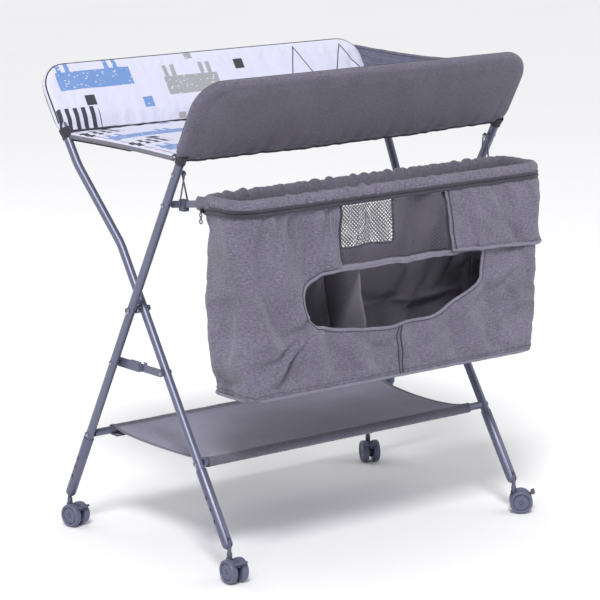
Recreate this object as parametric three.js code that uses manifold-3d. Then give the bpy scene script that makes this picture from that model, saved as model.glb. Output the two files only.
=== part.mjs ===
// A folding nursery changing table on casters: two crossed leg frames, a padded tray with two
// fabric walls carried on tube hoops, a hanging storage bag on a swing-down rim frame, and a
// fabric shelf between the cross tubes. Millimetres, +Z up, +X along the tray, front towards -Y.
// The origin is on the floor, under the middle of the table.
import * as THREE from "three";
import { mergeVertices } from "three/addons/utils/BufferGeometryUtils.js";
import Module from "manifold-3d";

const wasm = await Module();
wasm.setup();

// ---- driving dimensions ----
const GAP = 0.3; // clearance between pieces that touch
const PIVOT = { y: 17.6, z: 480.6 }; // the pivot where the legs cross
const OUTER_X = 388; // centre plane of the straight legs and of both hoops
const INNER_X = 359; // centre plane of the bent legs below their bend
const STRAIGHT_SLOPE = -0.571; // y per z of the straight legs, which run top front to bottom back
const BENT_LOW_SLOPE = 0.637; // y per z of the bent legs below the bend
const BENT_HIGH_SLOPE = 0.69; // and above it
const BACK_WALL_SLOPE = 0.66;
const BEND_Z = { low: 597, high: 743 }; // where the bent legs lean outwards
const TUBE = { outer: 8.5, inner: 7.4, sides: 10 }; // radii of the leg and hoop tubes
const SLEEVE = { outer: 10.5, inner: 8.8, topZ: 197, footZ: 70 }; // the telescoping lower legs
const TUBE_END_Z = 92; // where the upper tube ends inside its sleeve
const LEG_TOP_Z = 797;
const HOOP_GAP = 0.9; // between a leg top and its hoop, whose ends are cut at slightly different angles
const STEM_Z = 60; // where a caster's stem crosses its leg's axis
const PEG_HOLES_Z = [109, 130, 150]; // the height holes of a sleeve; the peg sits in the lowest
const CROSS_TUBE = { radius: 7.5, inner: 6.5, frontZ: 208, backZ: 205 };
const WALL = { half: 404, thickness: 22, corner: 60, foot: 14, hoopInset: 14 };
const FRONT_WALL = { z: 789, height: 175 }; // bottom height, and size along its slope
const BACK_WALL = { z: 800, height: 151 };
const MAT = { bottom: 789, top: 803, left: -396, right: 385 };
const END_WALL = { left: 386, right: 394, frontTop: 926, backTop: 914, sag: 12 };
const SHELF = { left: -344, right: 336, thickness: 5, sleeve: 10.4 };
const BRACE = { z: 367, thickness: 2.5, rearX: 374.2, frontX: 371.2 };
const BAG = { x: 372, back: -197, front: -317, top: 702, bottom: 353, corner: 28, wall: 3 };
const RIM = { x: 378, back: -195, front: -319, bottom: 702.6, top: 729 }; // the cloth band
const RIM_BAR = { x: 372.5, back: -201, front: -315, z: 708, size: 8, corner: 26 }; // the frame inside it
const ARM = { x: 372.5, thickness: 5, height: 13, pivotZ: 701, kneeY: -190, kneeZ: 712, endY: -245 };
const BAIL = { x: 372.5, topZ: 763, bottomZ: 704, spread: 11, wire: 1.6, hook: 5 };
const CASTER = { wheel: 23.5, trail: 15, webHalf: 4.5, inner: 5.2, width: 19.5 };
const CASTER_TRAIL_DEG = { front_left: 267.7, front_right: 320.7, back_left: 282, back_right: 245 };
const ZIP = { x: -378.4, y: -212, z: 703 }; // the slider, parked at the rear left corner

// ---- colours ----
const finish = (color, roughness, metalness) =>
  new THREE.MeshStandardMaterial({ color, roughness, metalness });
const PAINT = finish(0x6e7088, 0.38, 0.35);
const PAINT_DARK = finish(0x64667e, 0.4, 0.3);
const STEEL = finish(0xb9b9c4, 0.3, 0.9);
const PLASTIC = finish(0x5f6177, 0.5, 0);
const WHEEL_PLASTIC = finish(0x6b6f85, 0.45, 0);
const HEATHER_DARK = finish(0x6a6776, 0.95, 0);
const HEATHER = finish(0x7c7789, 0.95, 0);
const MAT_CLOTH = finish(0xd8d8ec, 0.7, 0);
const ZIP_METAL = finish(0x55545f, 0.4, 0.6);

// ---- solids ----
// A closed geometry as a solid that can be joined and cut.
function solid(geometry) {
  const bare = geometry.index ? geometry.toNonIndexed() : geometry.clone();
  bare.deleteAttribute("normal");
  bare.deleteAttribute("uv");
  const merged = mergeVertices(bare, 1e-3);
  return new wasm.Manifold(
    new wasm.Mesh({
      numProp: 3,
      vertProperties: new Float32Array(merged.attributes.position.array),
      triVerts: new Uint32Array(merged.index.array),
    }),
  );
}

const join = (...parts) => parts.reduce((whole, part) => whole.add(part));
const cut = (body, ...tools) => tools.reduce((rest, tool) => rest.subtract(tool), body);

function geometryOf(body) {
  const mesh = body.getMesh();
  const geometry = new THREE.BufferGeometry();
  geometry.setAttribute("position", new THREE.BufferAttribute(mesh.vertProperties, mesh.numProp));
  geometry.setIndex(new THREE.BufferAttribute(mesh.triVerts, 1));
  const flat = geometry.toNonIndexed();
  flat.computeVertexNormals();
  return flat;
}

const at = (x, y, z) => new THREE.Vector3(x, y, z);

// A path that a section is swept along: straight between its points, one step for each stretch.
class Route extends THREE.Curve {
  constructor(points) {
    super();
    this.points = points;
  }
  getPoint(t, target = at(0, 0, 0)) {
    const place = t * (this.points.length - 1);
    const i = Math.min(Math.floor(place), this.points.length - 2);
    return target.lerpVectors(this.points[i], this.points[i + 1], place - i);
  }
  getPointAt(u, target) {
    return this.getPoint(u, target);
  }
  getTangentAt(u, target = at(0, 0, 0)) {
    const last = this.points.length - 1;
    const i = Math.round(u * last);
    const before = this.points[Math.max(i - 1, 0)];
    const after = this.points[Math.min(i + 1, last)];
    return target.subVectors(after, before).normalize();
  }
}

// The corners of a path, each inner one rounded to its radius by an arc of a few steps.
function rounded(corners, radius, steps) {
  const points = [corners[0]];
  for (let i = 1; i < corners.length - 1; i++) {
    const toBefore = corners[i - 1].clone().sub(corners[i]).normalize();
    const toAfter = corners[i + 1].clone().sub(corners[i]).normalize();
    const reach = radius / Math.tan(toBefore.angleTo(toAfter) / 2);
    const bend = new THREE.QuadraticBezierCurve3(
      corners[i].clone().addScaledVector(toBefore, reach),
      corners[i],
      corners[i].clone().addScaledVector(toAfter, reach),
    );
    points.push(...bend.getPoints(steps));
  }
  points.push(corners.at(-1));
  return points;
}

function circle(radius, sides) {
  const shape = new THREE.Shape();
  for (let i = 0; i < sides; i++) {
    const turn = (2 * Math.PI * i) / sides;
    shape[i ? "lineTo" : "moveTo"](radius * Math.cos(turn), radius * Math.sin(turn));
  }
  shape.closePath();
  return shape;
}

// A round bar along points, or a tube where an inner radius is given.
function bar(points, radius, sides = 8, inner = 0) {
  const section = circle(radius, sides);
  if (inner) section.holes.push(circle(inner, Math.min(sides, 8)));
  const extrudePath = new Route(points);
  return solid(
    new THREE.ExtrudeGeometry(section, { extrudePath, steps: points.length - 1, curveSegments: 1 }),
  );
}

// A plate: an outline in the X-Y plane of a frame, given a thickness along the frame's Z.
function plate(shape, thickness, frame, curveSegments = 5) {
  const settings = { depth: thickness, bevelEnabled: false, curveSegments };
  return solid(new THREE.ExtrudeGeometry(shape, settings).applyMatrix4(frame));
}

// A frame whose X, Y and Z run along the given directions, at a place.
function frame(place, x, y) {
  const z = x.clone().cross(y);
  return new THREE.Matrix4().makeBasis(x, y, z).setPosition(place);
}

const ALONG_X = at(1, 0, 0);
const ALONG_Y = at(0, 1, 0);
const ALONG_Z = at(0, 0, 1);

// A plate standing in the Y-Z plane, from x to x + thickness.
const sidePlate = (shape, x, thickness, steps) =>
  plate(shape, thickness, frame(at(x, 0, 0), ALONG_Y, ALONG_Z), steps);
// A plate lying flat, from z to z + thickness.
const flatPlate = (shape, z, thickness, steps) =>
  plate(shape, thickness, frame(at(0, 0, z), ALONG_X, ALONG_Y), steps);

function polygon(points) {
  return new THREE.Shape(points.map(([a, b]) => new THREE.Vector2(a, b)));
}

function roundedBox(low, high, radius) {
  const [a, b, c, d] = [low[0], low[1], high[0], high[1]];
  const shape = new THREE.Shape();
  shape.moveTo(a + radius, b);
  shape.lineTo(c - radius, b);
  shape.absarc(c - radius, b + radius, radius, -Math.PI / 2, 0);
  shape.lineTo(c, d - radius);
  shape.absarc(c - radius, d - radius, radius, 0, Math.PI / 2);
  shape.lineTo(a + radius, d);
  shape.absarc(a + radius, d - radius, radius, Math.PI / 2, Math.PI);
  shape.lineTo(a, b + radius);
  shape.absarc(a + radius, b + radius, radius, Math.PI, Math.PI * 1.5);
  return shape;
}

// A flat bar with round ends between two points of the Y-Z plane.
function slotShape(from, to, half) {
  const [dy, dz] = [to[0] - from[0], to[1] - from[1]];
  const turn = Math.atan2(dz, dy);
  const shape = new THREE.Shape();
  shape.absarc(to[0], to[1], half, turn - Math.PI / 2, turn + Math.PI / 2);
  shape.absarc(from[0], from[1], half, turn + Math.PI / 2, turn + Math.PI * 1.5);
  return shape;
}

const pin = (x0, x1, y, z, radius, sides = 6) => bar([at(x0, y, z), at(x1, y, z)], radius, sides);

function boxSolid(low, high) {
  const size = [0, 1, 2].map((i) => high[i] - low[i]);
  const middle = [0, 1, 2].map((i) => (high[i] + low[i]) / 2);
  return solid(new THREE.BoxGeometry(...size).translate(...middle));
}

// ---- the table as a scene ----
const table = new THREE.Group();
table.name = "changing_table";

function place(name, body, material, parent = table) {
  const mesh = new THREE.Mesh(geometryOf(body), material);
  mesh.name = name;
  parent.add(mesh);
}

// The same piece on the left and right: the left one is the right one mirrored in x.
function placeBoth(name, body, material) {
  place(`${name}_right`, body, material);
  place(`${name}_left`, body.mirror([1, 0, 0]), material);
}

// ---- legs and hoops ----
const straightY = (z) => PIVOT.y + STRAIGHT_SLOPE * (z - PIVOT.z);
const bentY = (z) => PIVOT.y + BENT_LOW_SLOPE * (z - PIVOT.z);
const bentHighY = (z) => bentY(BEND_Z.low) + BENT_HIGH_SLOPE * (z - BEND_Z.low);

// Pieces that sit on a leg take their y from it.
const frontTube = { y: bentY(CROSS_TUBE.frontZ), z: CROSS_TUBE.frontZ };
const backTube = { y: straightY(CROSS_TUBE.backZ), z: CROSS_TUBE.backZ };
const braceRearY = straightY(BRACE.z);
const braceFrontY = bentY(BRACE.z);
const braceHingeY = (braceRearY + braceFrontY) / 2;
const armY = straightY(ARM.pivotZ);
const bailY = straightY(BAIL.topZ);

const onStraight = (z) => at(OUTER_X, straightY(z), z);
const onBent = (z) => at(INNER_X, bentY(z), z);

const pivotHole = pin(300, 420, PIVOT.y, PIVOT.z, 3.6);
const pegHoles = (onLeg, low, high) => onLeg.map((p) => pin(p.x + low, p.x + high, p.y, p.z, 3.6, 6));

function straightLeg() {
  const tube = bar([onStraight(TUBE_END_Z), onStraight(LEG_TOP_Z)], TUBE.outer, TUBE.sides, TUBE.inner);
  const holes = [
    pivotHole,
    pin(300, 420, braceRearY, BRACE.z, 2.9),
    pin(370, 420, backTube.y, backTube.z, 2.9),
    pin(370, 420, bailY, BAIL.topZ, 2.9),
    pin(370, 420, armY, ARM.pivotZ, 2.9),
    ...pegHoles([onStraight(PEG_HOLES_Z[0])], 2, 12),
  ];
  return cut(tube, ...holes);
}

function bentLeg() {
  const corners = [
    onBent(TUBE_END_Z),
    onBent(BEND_Z.low),
    at(OUTER_X, bentHighY(BEND_Z.high), BEND_Z.high),
    at(OUTER_X, bentHighY(LEG_TOP_Z), LEG_TOP_Z),
  ];
  const tube = bar(rounded(corners, 150, 3), TUBE.outer, TUBE.sides, TUBE.inner);
  return cut(
    tube,
    pivotHole,
    pin(300, 420, braceFrontY, BRACE.z, 2.9),
    pin(320, 400, frontTube.y, frontTube.z, 2.9),
    ...pegHoles([onBent(PEG_HOLES_Z[0])], 2, 12),
  );
}

// The line of a hoop, in the plane of its wall, starting below the wall's foot by a drop.
function hoopLine(wall, slope, footY, drop) {
  const along = at(0, slope, 1).normalize();
  const foot = at(OUTER_X, footY, LEG_TOP_Z + HOOP_GAP);
  const topZ = wall.z + (wall.height - WALL.hoopInset) * along.z;
  const right = foot.clone().addScaledVector(along, -drop);
  const topRight = foot.clone().addScaledVector(along, (topZ - foot.z) / along.z);
  const mirrored = ({ x, y, z }) => at(-x, y, z);
  return rounded([right, topRight, mirrored(topRight), mirrored(right)], WALL.corner - WALL.hoopInset, 4);
}

// A hoop ends in two narrowed, hollow spigots that sit in the leg tops.
function hoop(wall, slope, footY, legSlope) {
  const tube = bar(hoopLine(wall, slope, footY, 0), TUBE.outer, TUBE.sides, TUBE.inner);
  const spigot = (side) => {
    const foot = at(side * OUTER_X, footY, LEG_TOP_Z);
    const alongHoop = (length) => foot.clone().addScaledVector(at(0, slope, 1), length);
    const alongLeg = (length) => foot.clone().addScaledVector(at(0, legSlope, 1), length);
    const shoulder = bar([alongHoop(HOOP_GAP), alongHoop(12)], 7.9, 6, 5.6);
    return join(shoulder, bar([alongLeg(-22), alongLeg(HOOP_GAP + 0.5)], 6.4, 6, 5.6));
  };
  return join(tube, spigot(1), spigot(-1));
}

function lowerLeg(onLeg) {
  const foot = onLeg(SLEEVE.footZ);
  const sleeve = bar([foot, onLeg(SLEEVE.topZ)], SLEEVE.outer, 10, SLEEVE.inner / Math.cos(Math.PI / 8));
  const end = solid(new THREE.SphereGeometry(SLEEVE.outer, 10, 6).translate(foot.x, foot.y, foot.z));
  const stem = onLeg(STEM_Z);
  const bore = bar([at(stem.x, stem.y, 40), at(stem.x, stem.y, 82)], 4.7, 8);
  return cut(join(sleeve, end), bore, ...pegHoles(PEG_HOLES_Z.map(onLeg), 2, 14));
}

// The spring peg: a round tip that fills the hole of the upper tube, on a flange inside it.
function peg(onLeg) {
  const { x, y, z } = onLeg(PEG_HOLES_Z[0]);
  return join(pin(x + 3.4, x + 8.3, y, z, 3, 6), pin(x + 2.2, x + 3.8, y, z, 4.2, 6));
}

placeBoth("straight_leg", straightLeg(), PAINT);
placeBoth("bent_leg", bentLeg(), PAINT);
const BACK_FOOT_Y = bentHighY(LEG_TOP_Z);
place("front_hoop", hoop(FRONT_WALL, STRAIGHT_SLOPE, straightY(LEG_TOP_Z), STRAIGHT_SLOPE), PAINT);
place("back_hoop", hoop(BACK_WALL, BACK_WALL_SLOPE, BACK_FOOT_Y, BENT_HIGH_SLOPE), PAINT);
placeBoth("lower_leg_back", lowerLeg(onStraight), PAINT_DARK);
placeBoth("lower_leg_front", lowerLeg(onBent), PAINT_DARK);
placeBoth("snap_button_back", peg(onStraight), STEEL);
placeBoth("snap_button_front", peg(onBent), STEEL);

// ---- cross tubes and their bolts ----
function crossTube({ y, z }, legX) {
  const reach = legX - TUBE.outer - GAP;
  return bar([at(-reach, y, z), at(reach, y, z)], CROSS_TUBE.radius, 10, CROSS_TUBE.inner);
}

// A bolt through a leg into the end of a cross tube: a low round head and a shank.
function crossBolt({ y, z }, legX) {
  const skin = legX + TUBE.outer;
  return join(pin(skin + GAP, skin + 3, y, z, 5.2, 8), pin(legX - 30, skin + 1, y, z, 2.2));
}

place("front_cross_tube", crossTube(frontTube, INNER_X), PAINT);
place("back_cross_tube", crossTube(backTube, OUTER_X), PAINT);
placeBoth("front_cross_bolt", crossBolt(frontTube, INNER_X), STEEL);
placeBoth("back_cross_bolt", crossBolt(backTube, OUTER_X), STEEL);

// ---- crossing pivots ----
function pivotBolt() {
  const { y, z } = PIVOT;
  const shank = pin(INNER_X - 12, OUTER_X + 12, y, z, 3);
  const spacer = pin(INNER_X + TUBE.outer + GAP, OUTER_X - TUBE.outer - GAP, y, z, 7.5, 8);
  const head = pin(OUTER_X + TUBE.outer + GAP, OUTER_X + 13, y, z, 6.5, 8);
  const nut = pin(INNER_X - 13, INNER_X - TUBE.outer - GAP, y, z, 6, 6);
  return join(shank, spacer, head, nut);
}

placeBoth("pivot_bolt", pivotBolt(), STEEL);

// ---- folding braces ----
// The rear link hangs on the straight leg and ends past the hinge; it has a thumb lip on top.
function rearLink() {
  const x = BRACE.rearX;
  const strip = sidePlate(slotShape([braceRearY, BRACE.z], [braceHingeY, BRACE.z], 9.5), x, BRACE.thickness, 5);
  const lip = boxSolid([x, braceHingeY - 6, BRACE.z + 8], [x + 3.6, braceHingeY + 26, BRACE.z + 11.5]);
  const boss = pin(x + 1, x + 4.2, braceHingeY, BRACE.z, 5, 8);
  return cut(join(strip, lip, boss), pin(x - 5, x + 8, braceRearY, BRACE.z, 2.9));
}

// The front link hangs on the bent leg, with the latch bump ahead of the hinge.
function frontLink() {
  const x = BRACE.frontX;
  const strip = sidePlate(slotShape([braceFrontY, BRACE.z], [braceHingeY, BRACE.z], 7.5), x, BRACE.thickness);
  const top = BRACE.z + 12;
  const bump = boxSolid([x, braceHingeY - 22, BRACE.z + 5], [x + BRACE.thickness, braceHingeY - 13, top]);
  const boss = pin(x - 1.7, x + 1, braceHingeY, BRACE.z, 5, 8);
  return cut(join(strip, bump, boss), pin(x - 5, x + 8, braceFrontY, BRACE.z, 2.9));
}

// A rivet: a shank between a head on the leg's far side and a head beyond the link.
function rivet(y, z, shankFrom, shankTo, head) {
  const low = pin(shankFrom, shankFrom + 1.4, y, z, head, 8);
  const high = pin(shankTo - 1.8, shankTo, y, z, head, 8);
  return join(low, high, pin(shankFrom, shankTo, y, z, 2.4));
}

placeBoth("brace_rear_link", rearLink(), PAINT_DARK);
placeBoth("brace_front_link", frontLink(), PAINT_DARK);
placeBoth("brace_rear_rivet", rivet(braceRearY, BRACE.z, 372.4, 398.8, 4.6), STEEL);
placeBoth("brace_front_rivet", rivet(braceFrontY, BRACE.z, 348.2, 376, 4.6), STEEL);

// ---- fabric walls, end wall and mat ----
// A padded wall: a slab that leans with its hoop, hollow where the hoop runs through it.
function wallPanel(wall, slope, footY) {
  const up = at(0, slope, 1).normalize();
  const across = ALONG_X.clone().cross(up);
  const footPlace = at(0, footY + slope * (wall.z - LEG_TOP_Z), wall.z);
  footPlace.addScaledVector(across, -WALL.thickness / 2);
  const outline = new THREE.Shape();
  const { half, corner, foot } = WALL;
  const height = wall.height;
  outline.moveTo(-half + foot, 0);
  outline.lineTo(half - foot, 0);
  outline.absarc(half - foot, foot, foot, -Math.PI / 2, 0);
  outline.absarc(half - corner, height - corner, corner, 0, Math.PI / 2);
  outline.absarc(-half + corner, height - corner, corner, Math.PI / 2, Math.PI);
  outline.absarc(-half + foot, foot, foot, Math.PI, Math.PI * 1.5);
  const slab = plate(outline, WALL.thickness, frame(footPlace, ALONG_X, up), 4);
  return cut(slab, bar(hoopLine(wall, slope, footY, 40), TUBE.outer + 0.9, TUBE.sides));
}

place("front_wall", wallPanel(FRONT_WALL, STRAIGHT_SLOPE, straightY(LEG_TOP_Z)), HEATHER_DARK);
place("back_wall", wallPanel(BACK_WALL, BACK_WALL_SLOPE, BACK_FOOT_Y), HEATHER);

// The y of a wall's inner face at a height, with a gap in front of it.
const frontFaceY = (z) => straightY(z) + (WALL.thickness / 2) * Math.hypot(1, STRAIGHT_SLOPE) + GAP;
const backFaceY = (z) =>
  BACK_FOOT_Y + BACK_WALL_SLOPE * (z - LEG_TOP_Z) - (WALL.thickness / 2) * Math.hypot(1, BACK_WALL_SLOPE) - GAP;

const matOutline = polygon([
  [frontFaceY(MAT.bottom), MAT.bottom],
  [backFaceY(MAT.bottom), MAT.bottom],
  [backFaceY(MAT.top), MAT.top],
  [frontFaceY(MAT.top), MAT.top],
]);
place("changing_mat", sidePlate(matOutline, MAT.left, MAT.right - MAT.left), MAT_CLOTH);

function endWall() {
  const { frontTop, backTop, sag } = END_WALL;
  const shape = new THREE.Shape();
  shape.moveTo(frontFaceY(MAT.bottom), MAT.bottom);
  shape.lineTo(backFaceY(MAT.bottom), MAT.bottom);
  shape.lineTo(backFaceY(backTop), backTop);
  shape.quadraticCurveTo(20, (frontTop + backTop) / 2 - 2 * sag, frontFaceY(frontTop), frontTop);
  return sidePlate(shape, END_WALL.left, END_WALL.right - END_WALL.left, 8);
}
place("end_wall", endWall(), HEATHER);

// ---- shelf ----
function shelf() {
  const half = SHELF.thickness / 2;
  const outline = polygon([
    [frontTube.y, frontTube.z - half],
    [backTube.y, backTube.z - half],
    [backTube.y, backTube.z + half],
    [frontTube.y, frontTube.z + half],
  ]);
  const span = SHELF.right - SHELF.left;
  const sleeve = ({ y, z }) => pin(SHELF.left, SHELF.right, y, z, SHELF.sleeve, 10);
  const channel = ({ y, z }) => pin(SHELF.left - 5, SHELF.right + 5, y, z, CROSS_TUBE.radius + 0.7, 10);
  const cloth = join(sidePlate(outline, SHELF.left, span), sleeve(frontTube), sleeve(backTube));
  return cut(cloth, channel(frontTube), channel(backTube));
}
place("shelf", shelf(), HEATHER);

// ---- storage bag ----
// The arm's outline with a margin all round: it rises from its rivet to a knee, then runs level.
function arm(margin) {
  const knee = [ARM.kneeY, ARM.kneeZ];
  const half = ARM.height / 2 + margin;
  const x = ARM.x - ARM.thickness / 2 - margin;
  const thickness = ARM.thickness + 2 * margin;
  return join(
    sidePlate(slotShape([armY, ARM.pivotZ], knee, half), x, thickness, 4),
    sidePlate(slotShape(knee, [ARM.endY, ARM.kneeZ], half), x, thickness, 4),
  );
}

// The rim frame: a flat ring of bar inside the bag's rim, on two arms riveted to the straight legs.
// A flat ring that follows the rim bar: its outline grown and its hole shrunk by a margin.
function barRing(margin, low, high) {
  const { x, back, front, size, corner } = RIM_BAR;
  const outline = (inset) =>
    roundedBox([-x + inset, front + inset], [x - inset, back - inset], corner - inset);
  return cut(
    flatPlate(outline(-margin), low, high - low, 3),
    flatPlate(outline(size + margin), low - 5, high - low + 10, 3),
  );
}

function rimFrame() {
  const drilled = cut(arm(0), pin(360, 390, armY, ARM.pivotZ, 2.9));
  const ring = barRing(0, RIM_BAR.z, RIM_BAR.z + RIM_BAR.size);
  return join(ring, drilled, drilled.mirror([1, 0, 0]));
}

// The ruched band that wraps the rim frame, open where the arms enter it.
function rimBand() {
  const height = RIM.top - RIM.bottom;
  const ring = cut(
    flatPlate(roundedBox([-RIM.x, RIM.front], [RIM.x, RIM.back], 30), RIM.bottom, height, 3),
    flatPlate(roundedBox([-361, -304], [361, -211], 16), RIM.bottom - 5, height + 10, 3),
  );
  const channel = barRing(0.5, RIM_BAR.z - 0.6, RIM_BAR.z + RIM_BAR.size + 0.6);
  const armSlot = arm(0.6);
  return cut(ring, channel, armSlot, armSlot.mirror([1, 0, 0]));
}

// The hanging bag: an open-topped box of cloth with a wide pocket mouth in its front.
function bag() {
  const { x, back, front, top, bottom, corner, wall } = BAG;
  const outer = flatPlate(roundedBox([-x, front], [x, back], corner), bottom, top - bottom);
  const hollow = flatPlate(
    roundedBox([-x + wall, front + wall], [x - wall, back - wall], corner - wall),
    bottom + wall,
    top - bottom,
  );
  const mouth = new THREE.Shape();
  mouth.moveTo(-190, 485);
  mouth.lineTo(0, 462);
  mouth.lineTo(96, 468);
  mouth.lineTo(216, 570);
  mouth.lineTo(-182, 584);
  mouth.absarc(-182, 534.5, 49.5, Math.PI / 2, Math.PI * 1.45);
  const facing = frame(at(0, front + wall + 6, 0), ALONG_X, ALONG_Z);
  const opening = plate(mouth, 40, facing, 5);
  return cut(outer, hollow, opening);
}

// A clip of moulded plastic round each arm, with a socket on each side for the bail's feet.
function armClip() {
  const half = 6;
  const { x } = BAIL;
  const body = boxSolid([x - half, bailY - 8, 693], [x + half, bailY + 8, 714.5]);
  return cut(body, arm(0.5));
}

// The bail: a bent wire that hooks over the upper rivet and straddles the clip, one foot each side.
function bail() {
  const { x, topZ, bottomZ, spread, wire, hook } = BAIL;
  const line = [
    at(x - spread, bailY, bottomZ - 4),
    at(x - 1, bailY + hook, topZ - 2),
    at(x, bailY + 0.7 * hook, topZ + 0.7 * hook),
    at(x, bailY, topZ + hook),
    at(x, bailY - 0.7 * hook, topZ + 0.7 * hook),
    at(x + 1, bailY - hook, topZ - 2),
    at(x + spread, bailY, bottomZ - 4),
  ];
  return bar(line, wire, 6);
}

place("bag_rim_frame", rimFrame(), PAINT);
place("bag_rim_band", rimBand(), HEATHER);
place("storage_bag", bag(), HEATHER);
placeBoth("arm_clip", armClip(), PLASTIC);
placeBoth("bail", bail(), STEEL);
placeBoth("arm_rivet", rivet(armY, ARM.pivotZ, 368, 398.8, 4.6), STEEL);
placeBoth("bail_rivet", rivet(bailY, BAIL.topZ, 368, 398.8, 4.6), STEEL);

// ---- zip slider and its pull ----
function zipSlider() {
  const { x, y, z } = ZIP;
  const shell = boxSolid([x - 3, y - 5, z - 4], [x, y + 5, z + 4]);
  const bridge = boxSolid([x - 5, y - 1.5, z - 3], [x, y + 1.5, z + 3]);
  return join(shell, bridge);
}

function zipPull() {
  const { x, y, z } = ZIP;
  const ring = (middleZ, radius) =>
    cut(pin(x - 5.2, x - 3.6, y, middleZ, radius, 8), pin(x - 9, x, y, middleZ, radius - 1.6, 8));
  const strap = boxSolid([x - 5.2, y - 1.4, z - 16.6], [x - 3.6, y + 1.4, z - 11]);
  return join(ring(z - 8, 4.4), ring(z - 20, 5), strap);
}

place("zip_slider", zipSlider(), ZIP_METAL);
place("zip_pull", zipPull(), ZIP_METAL);

// ---- casters ----
// Each is made with its stem at the origin, trailing along +X with its axle along Y.
const wheelZ = CASTER.wheel;

function casterBody() {
  const shape = new THREE.Shape();
  shape.absarc(CASTER.trail, wheelZ, 13, -Math.PI * 0.75, Math.PI * 0.3);
  shape.lineTo(5, 45);
  shape.lineTo(-6, 45);
  shape.lineTo(-6, 22);
  const web = plate(shape, 2 * CASTER.webHalf, frame(at(0, CASTER.webHalf, 0), ALONG_X, ALONG_Z), 8);
  const stem = join(bar([at(0, 0, 40), at(0, 0, 56)], 4.8, 8), bar([at(0, 0, 50), at(0, 0, 80)], 3.9, 8));
  return cut(join(web, stem), bar([at(CASTER.trail, -9, wheelZ), at(CASTER.trail, 9, wheelZ)], 3.6, 8));
}

// Two wheels on one axle, turned about it: the tread is crowned and each face has a rim.
function wheelPair() {
  const { wheel, inner, width } = CASTER;
  const profile = [
    [0, -width + 1],
    [wheel - 5, -width],
    [wheel - 2, -width + 0.6],
    [wheel, -width + 4],
    [wheel - 1.6, -inner],
    [3, -inner],
  ];
  const mirrored = profile.toReversed().map(([r, h]) => [r, -h]);
  const points = [...profile, ...mirrored].map(([r, h]) => new THREE.Vector2(r, h));
  return solid(new THREE.LatheGeometry(points, 16)).translate([CASTER.trail, 0, wheelZ]);
}

// The brake: a ridged lever over the web, between the wheels, ending in two wings to step on.
function brakeTab() {
  const lever = new THREE.Shape();
  const turn = (deg) => (deg * Math.PI) / 180;
  lever.absarc(CASTER.trail, wheelZ, 16.2, turn(84), turn(30), true);
  lever.absarc(CASTER.trail, wheelZ, 21.5, turn(22), turn(84), false);
  const body = plate(lever, 8.4, frame(at(0, 4.2, 0), ALONG_X, ALONG_Z), 3);
  const tongue = new THREE.Shape();
  tongue.absarc(CASTER.trail, wheelZ, 19, turn(46), turn(34), true);
  tongue.absarc(CASTER.trail, wheelZ, 34, turn(35), turn(42), false);
  const neck = plate(tongue, 8.4, frame(at(0, 4.2, 0), ALONG_X, ALONG_Z), 3);
  const wing = new THREE.Shape();
  wing.absarc(CASTER.trail, wheelZ, 27.5, turn(45), turn(34), true);
  wing.absarc(CASTER.trail, wheelZ, 34.5, turn(34), turn(42), false);
  return join(body, neck, plate(wing, 26, frame(at(0, 13, 0), ALONG_X, ALONG_Z), 2));
}

const casterPieces = [
  ["caster_body", casterBody(), PLASTIC],
  ["caster_wheels", wheelPair(), WHEEL_PLASTIC],
  ["caster_brake", brakeTab(), PLASTIC],
];
for (const [corner, trailDeg] of Object.entries(CASTER_TRAIL_DEG)) {
  const onLeg = corner.startsWith("front") ? onBent : onStraight;
  const { x, y } = onLeg(STEM_Z);
  const caster = new THREE.Group();
  caster.position.set(corner.endsWith("left") ? -x : x, y, 0);
  caster.rotation.z = (trailDeg * Math.PI) / 180;
  table.add(caster);
  for (const [name, piece, material] of casterPieces) place(`${name}_${corner}`, piece, material, caster);
}

export default table;
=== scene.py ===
"""The folding changing table: painted tube legs, a padded tray, a hanging storage bag, a cloth shelf.

Metres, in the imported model's frame: +X along the tray, front towards -Y, +Z up from the floor.
"""
import math

import bmesh
import bpy
import numpy as np
from mathutils import Matrix, Vector
from mathutils.bvhtree import BVHTree
from mathutils.geometry import delaunay_2d_cdt


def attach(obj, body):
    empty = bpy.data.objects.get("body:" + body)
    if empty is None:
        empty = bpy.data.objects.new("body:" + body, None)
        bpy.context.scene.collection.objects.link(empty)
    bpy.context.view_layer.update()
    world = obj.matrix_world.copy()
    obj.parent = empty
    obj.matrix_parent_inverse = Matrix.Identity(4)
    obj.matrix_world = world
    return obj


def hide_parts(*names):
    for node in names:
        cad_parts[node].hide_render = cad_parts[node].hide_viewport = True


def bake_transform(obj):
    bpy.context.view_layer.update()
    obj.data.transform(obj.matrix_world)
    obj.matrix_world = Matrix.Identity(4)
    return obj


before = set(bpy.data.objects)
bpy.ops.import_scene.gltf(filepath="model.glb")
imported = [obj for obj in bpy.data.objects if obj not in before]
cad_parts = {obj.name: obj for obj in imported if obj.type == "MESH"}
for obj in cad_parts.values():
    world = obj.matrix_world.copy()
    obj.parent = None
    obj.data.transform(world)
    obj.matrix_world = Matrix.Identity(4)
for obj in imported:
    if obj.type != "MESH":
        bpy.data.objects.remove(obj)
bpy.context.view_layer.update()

# ---- driving dimensions, which repeat the CAD's ----
PIVOT_Y, PIVOT_Z = 0.0176, 0.4806
OUTER_X, INNER_X = 0.388, 0.359
STRAIGHT_SLOPE, BENT_SLOPE, BENT_HIGH_SLOPE, BACK_WALL_SLOPE = -0.571, 0.637, 0.69, 0.66
BEND_LOW, BEND_HIGH, LEG_TOP = 0.597, 0.743, 0.797
TUBE_END, SLEEVE_TOP, SLEEVE_FOOT, STEM_Z = 0.092, 0.197, 0.070, 0.060
TUBE, SLEEVE, CROSS_TUBE = 0.0085, 0.0105, 0.0075
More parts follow.
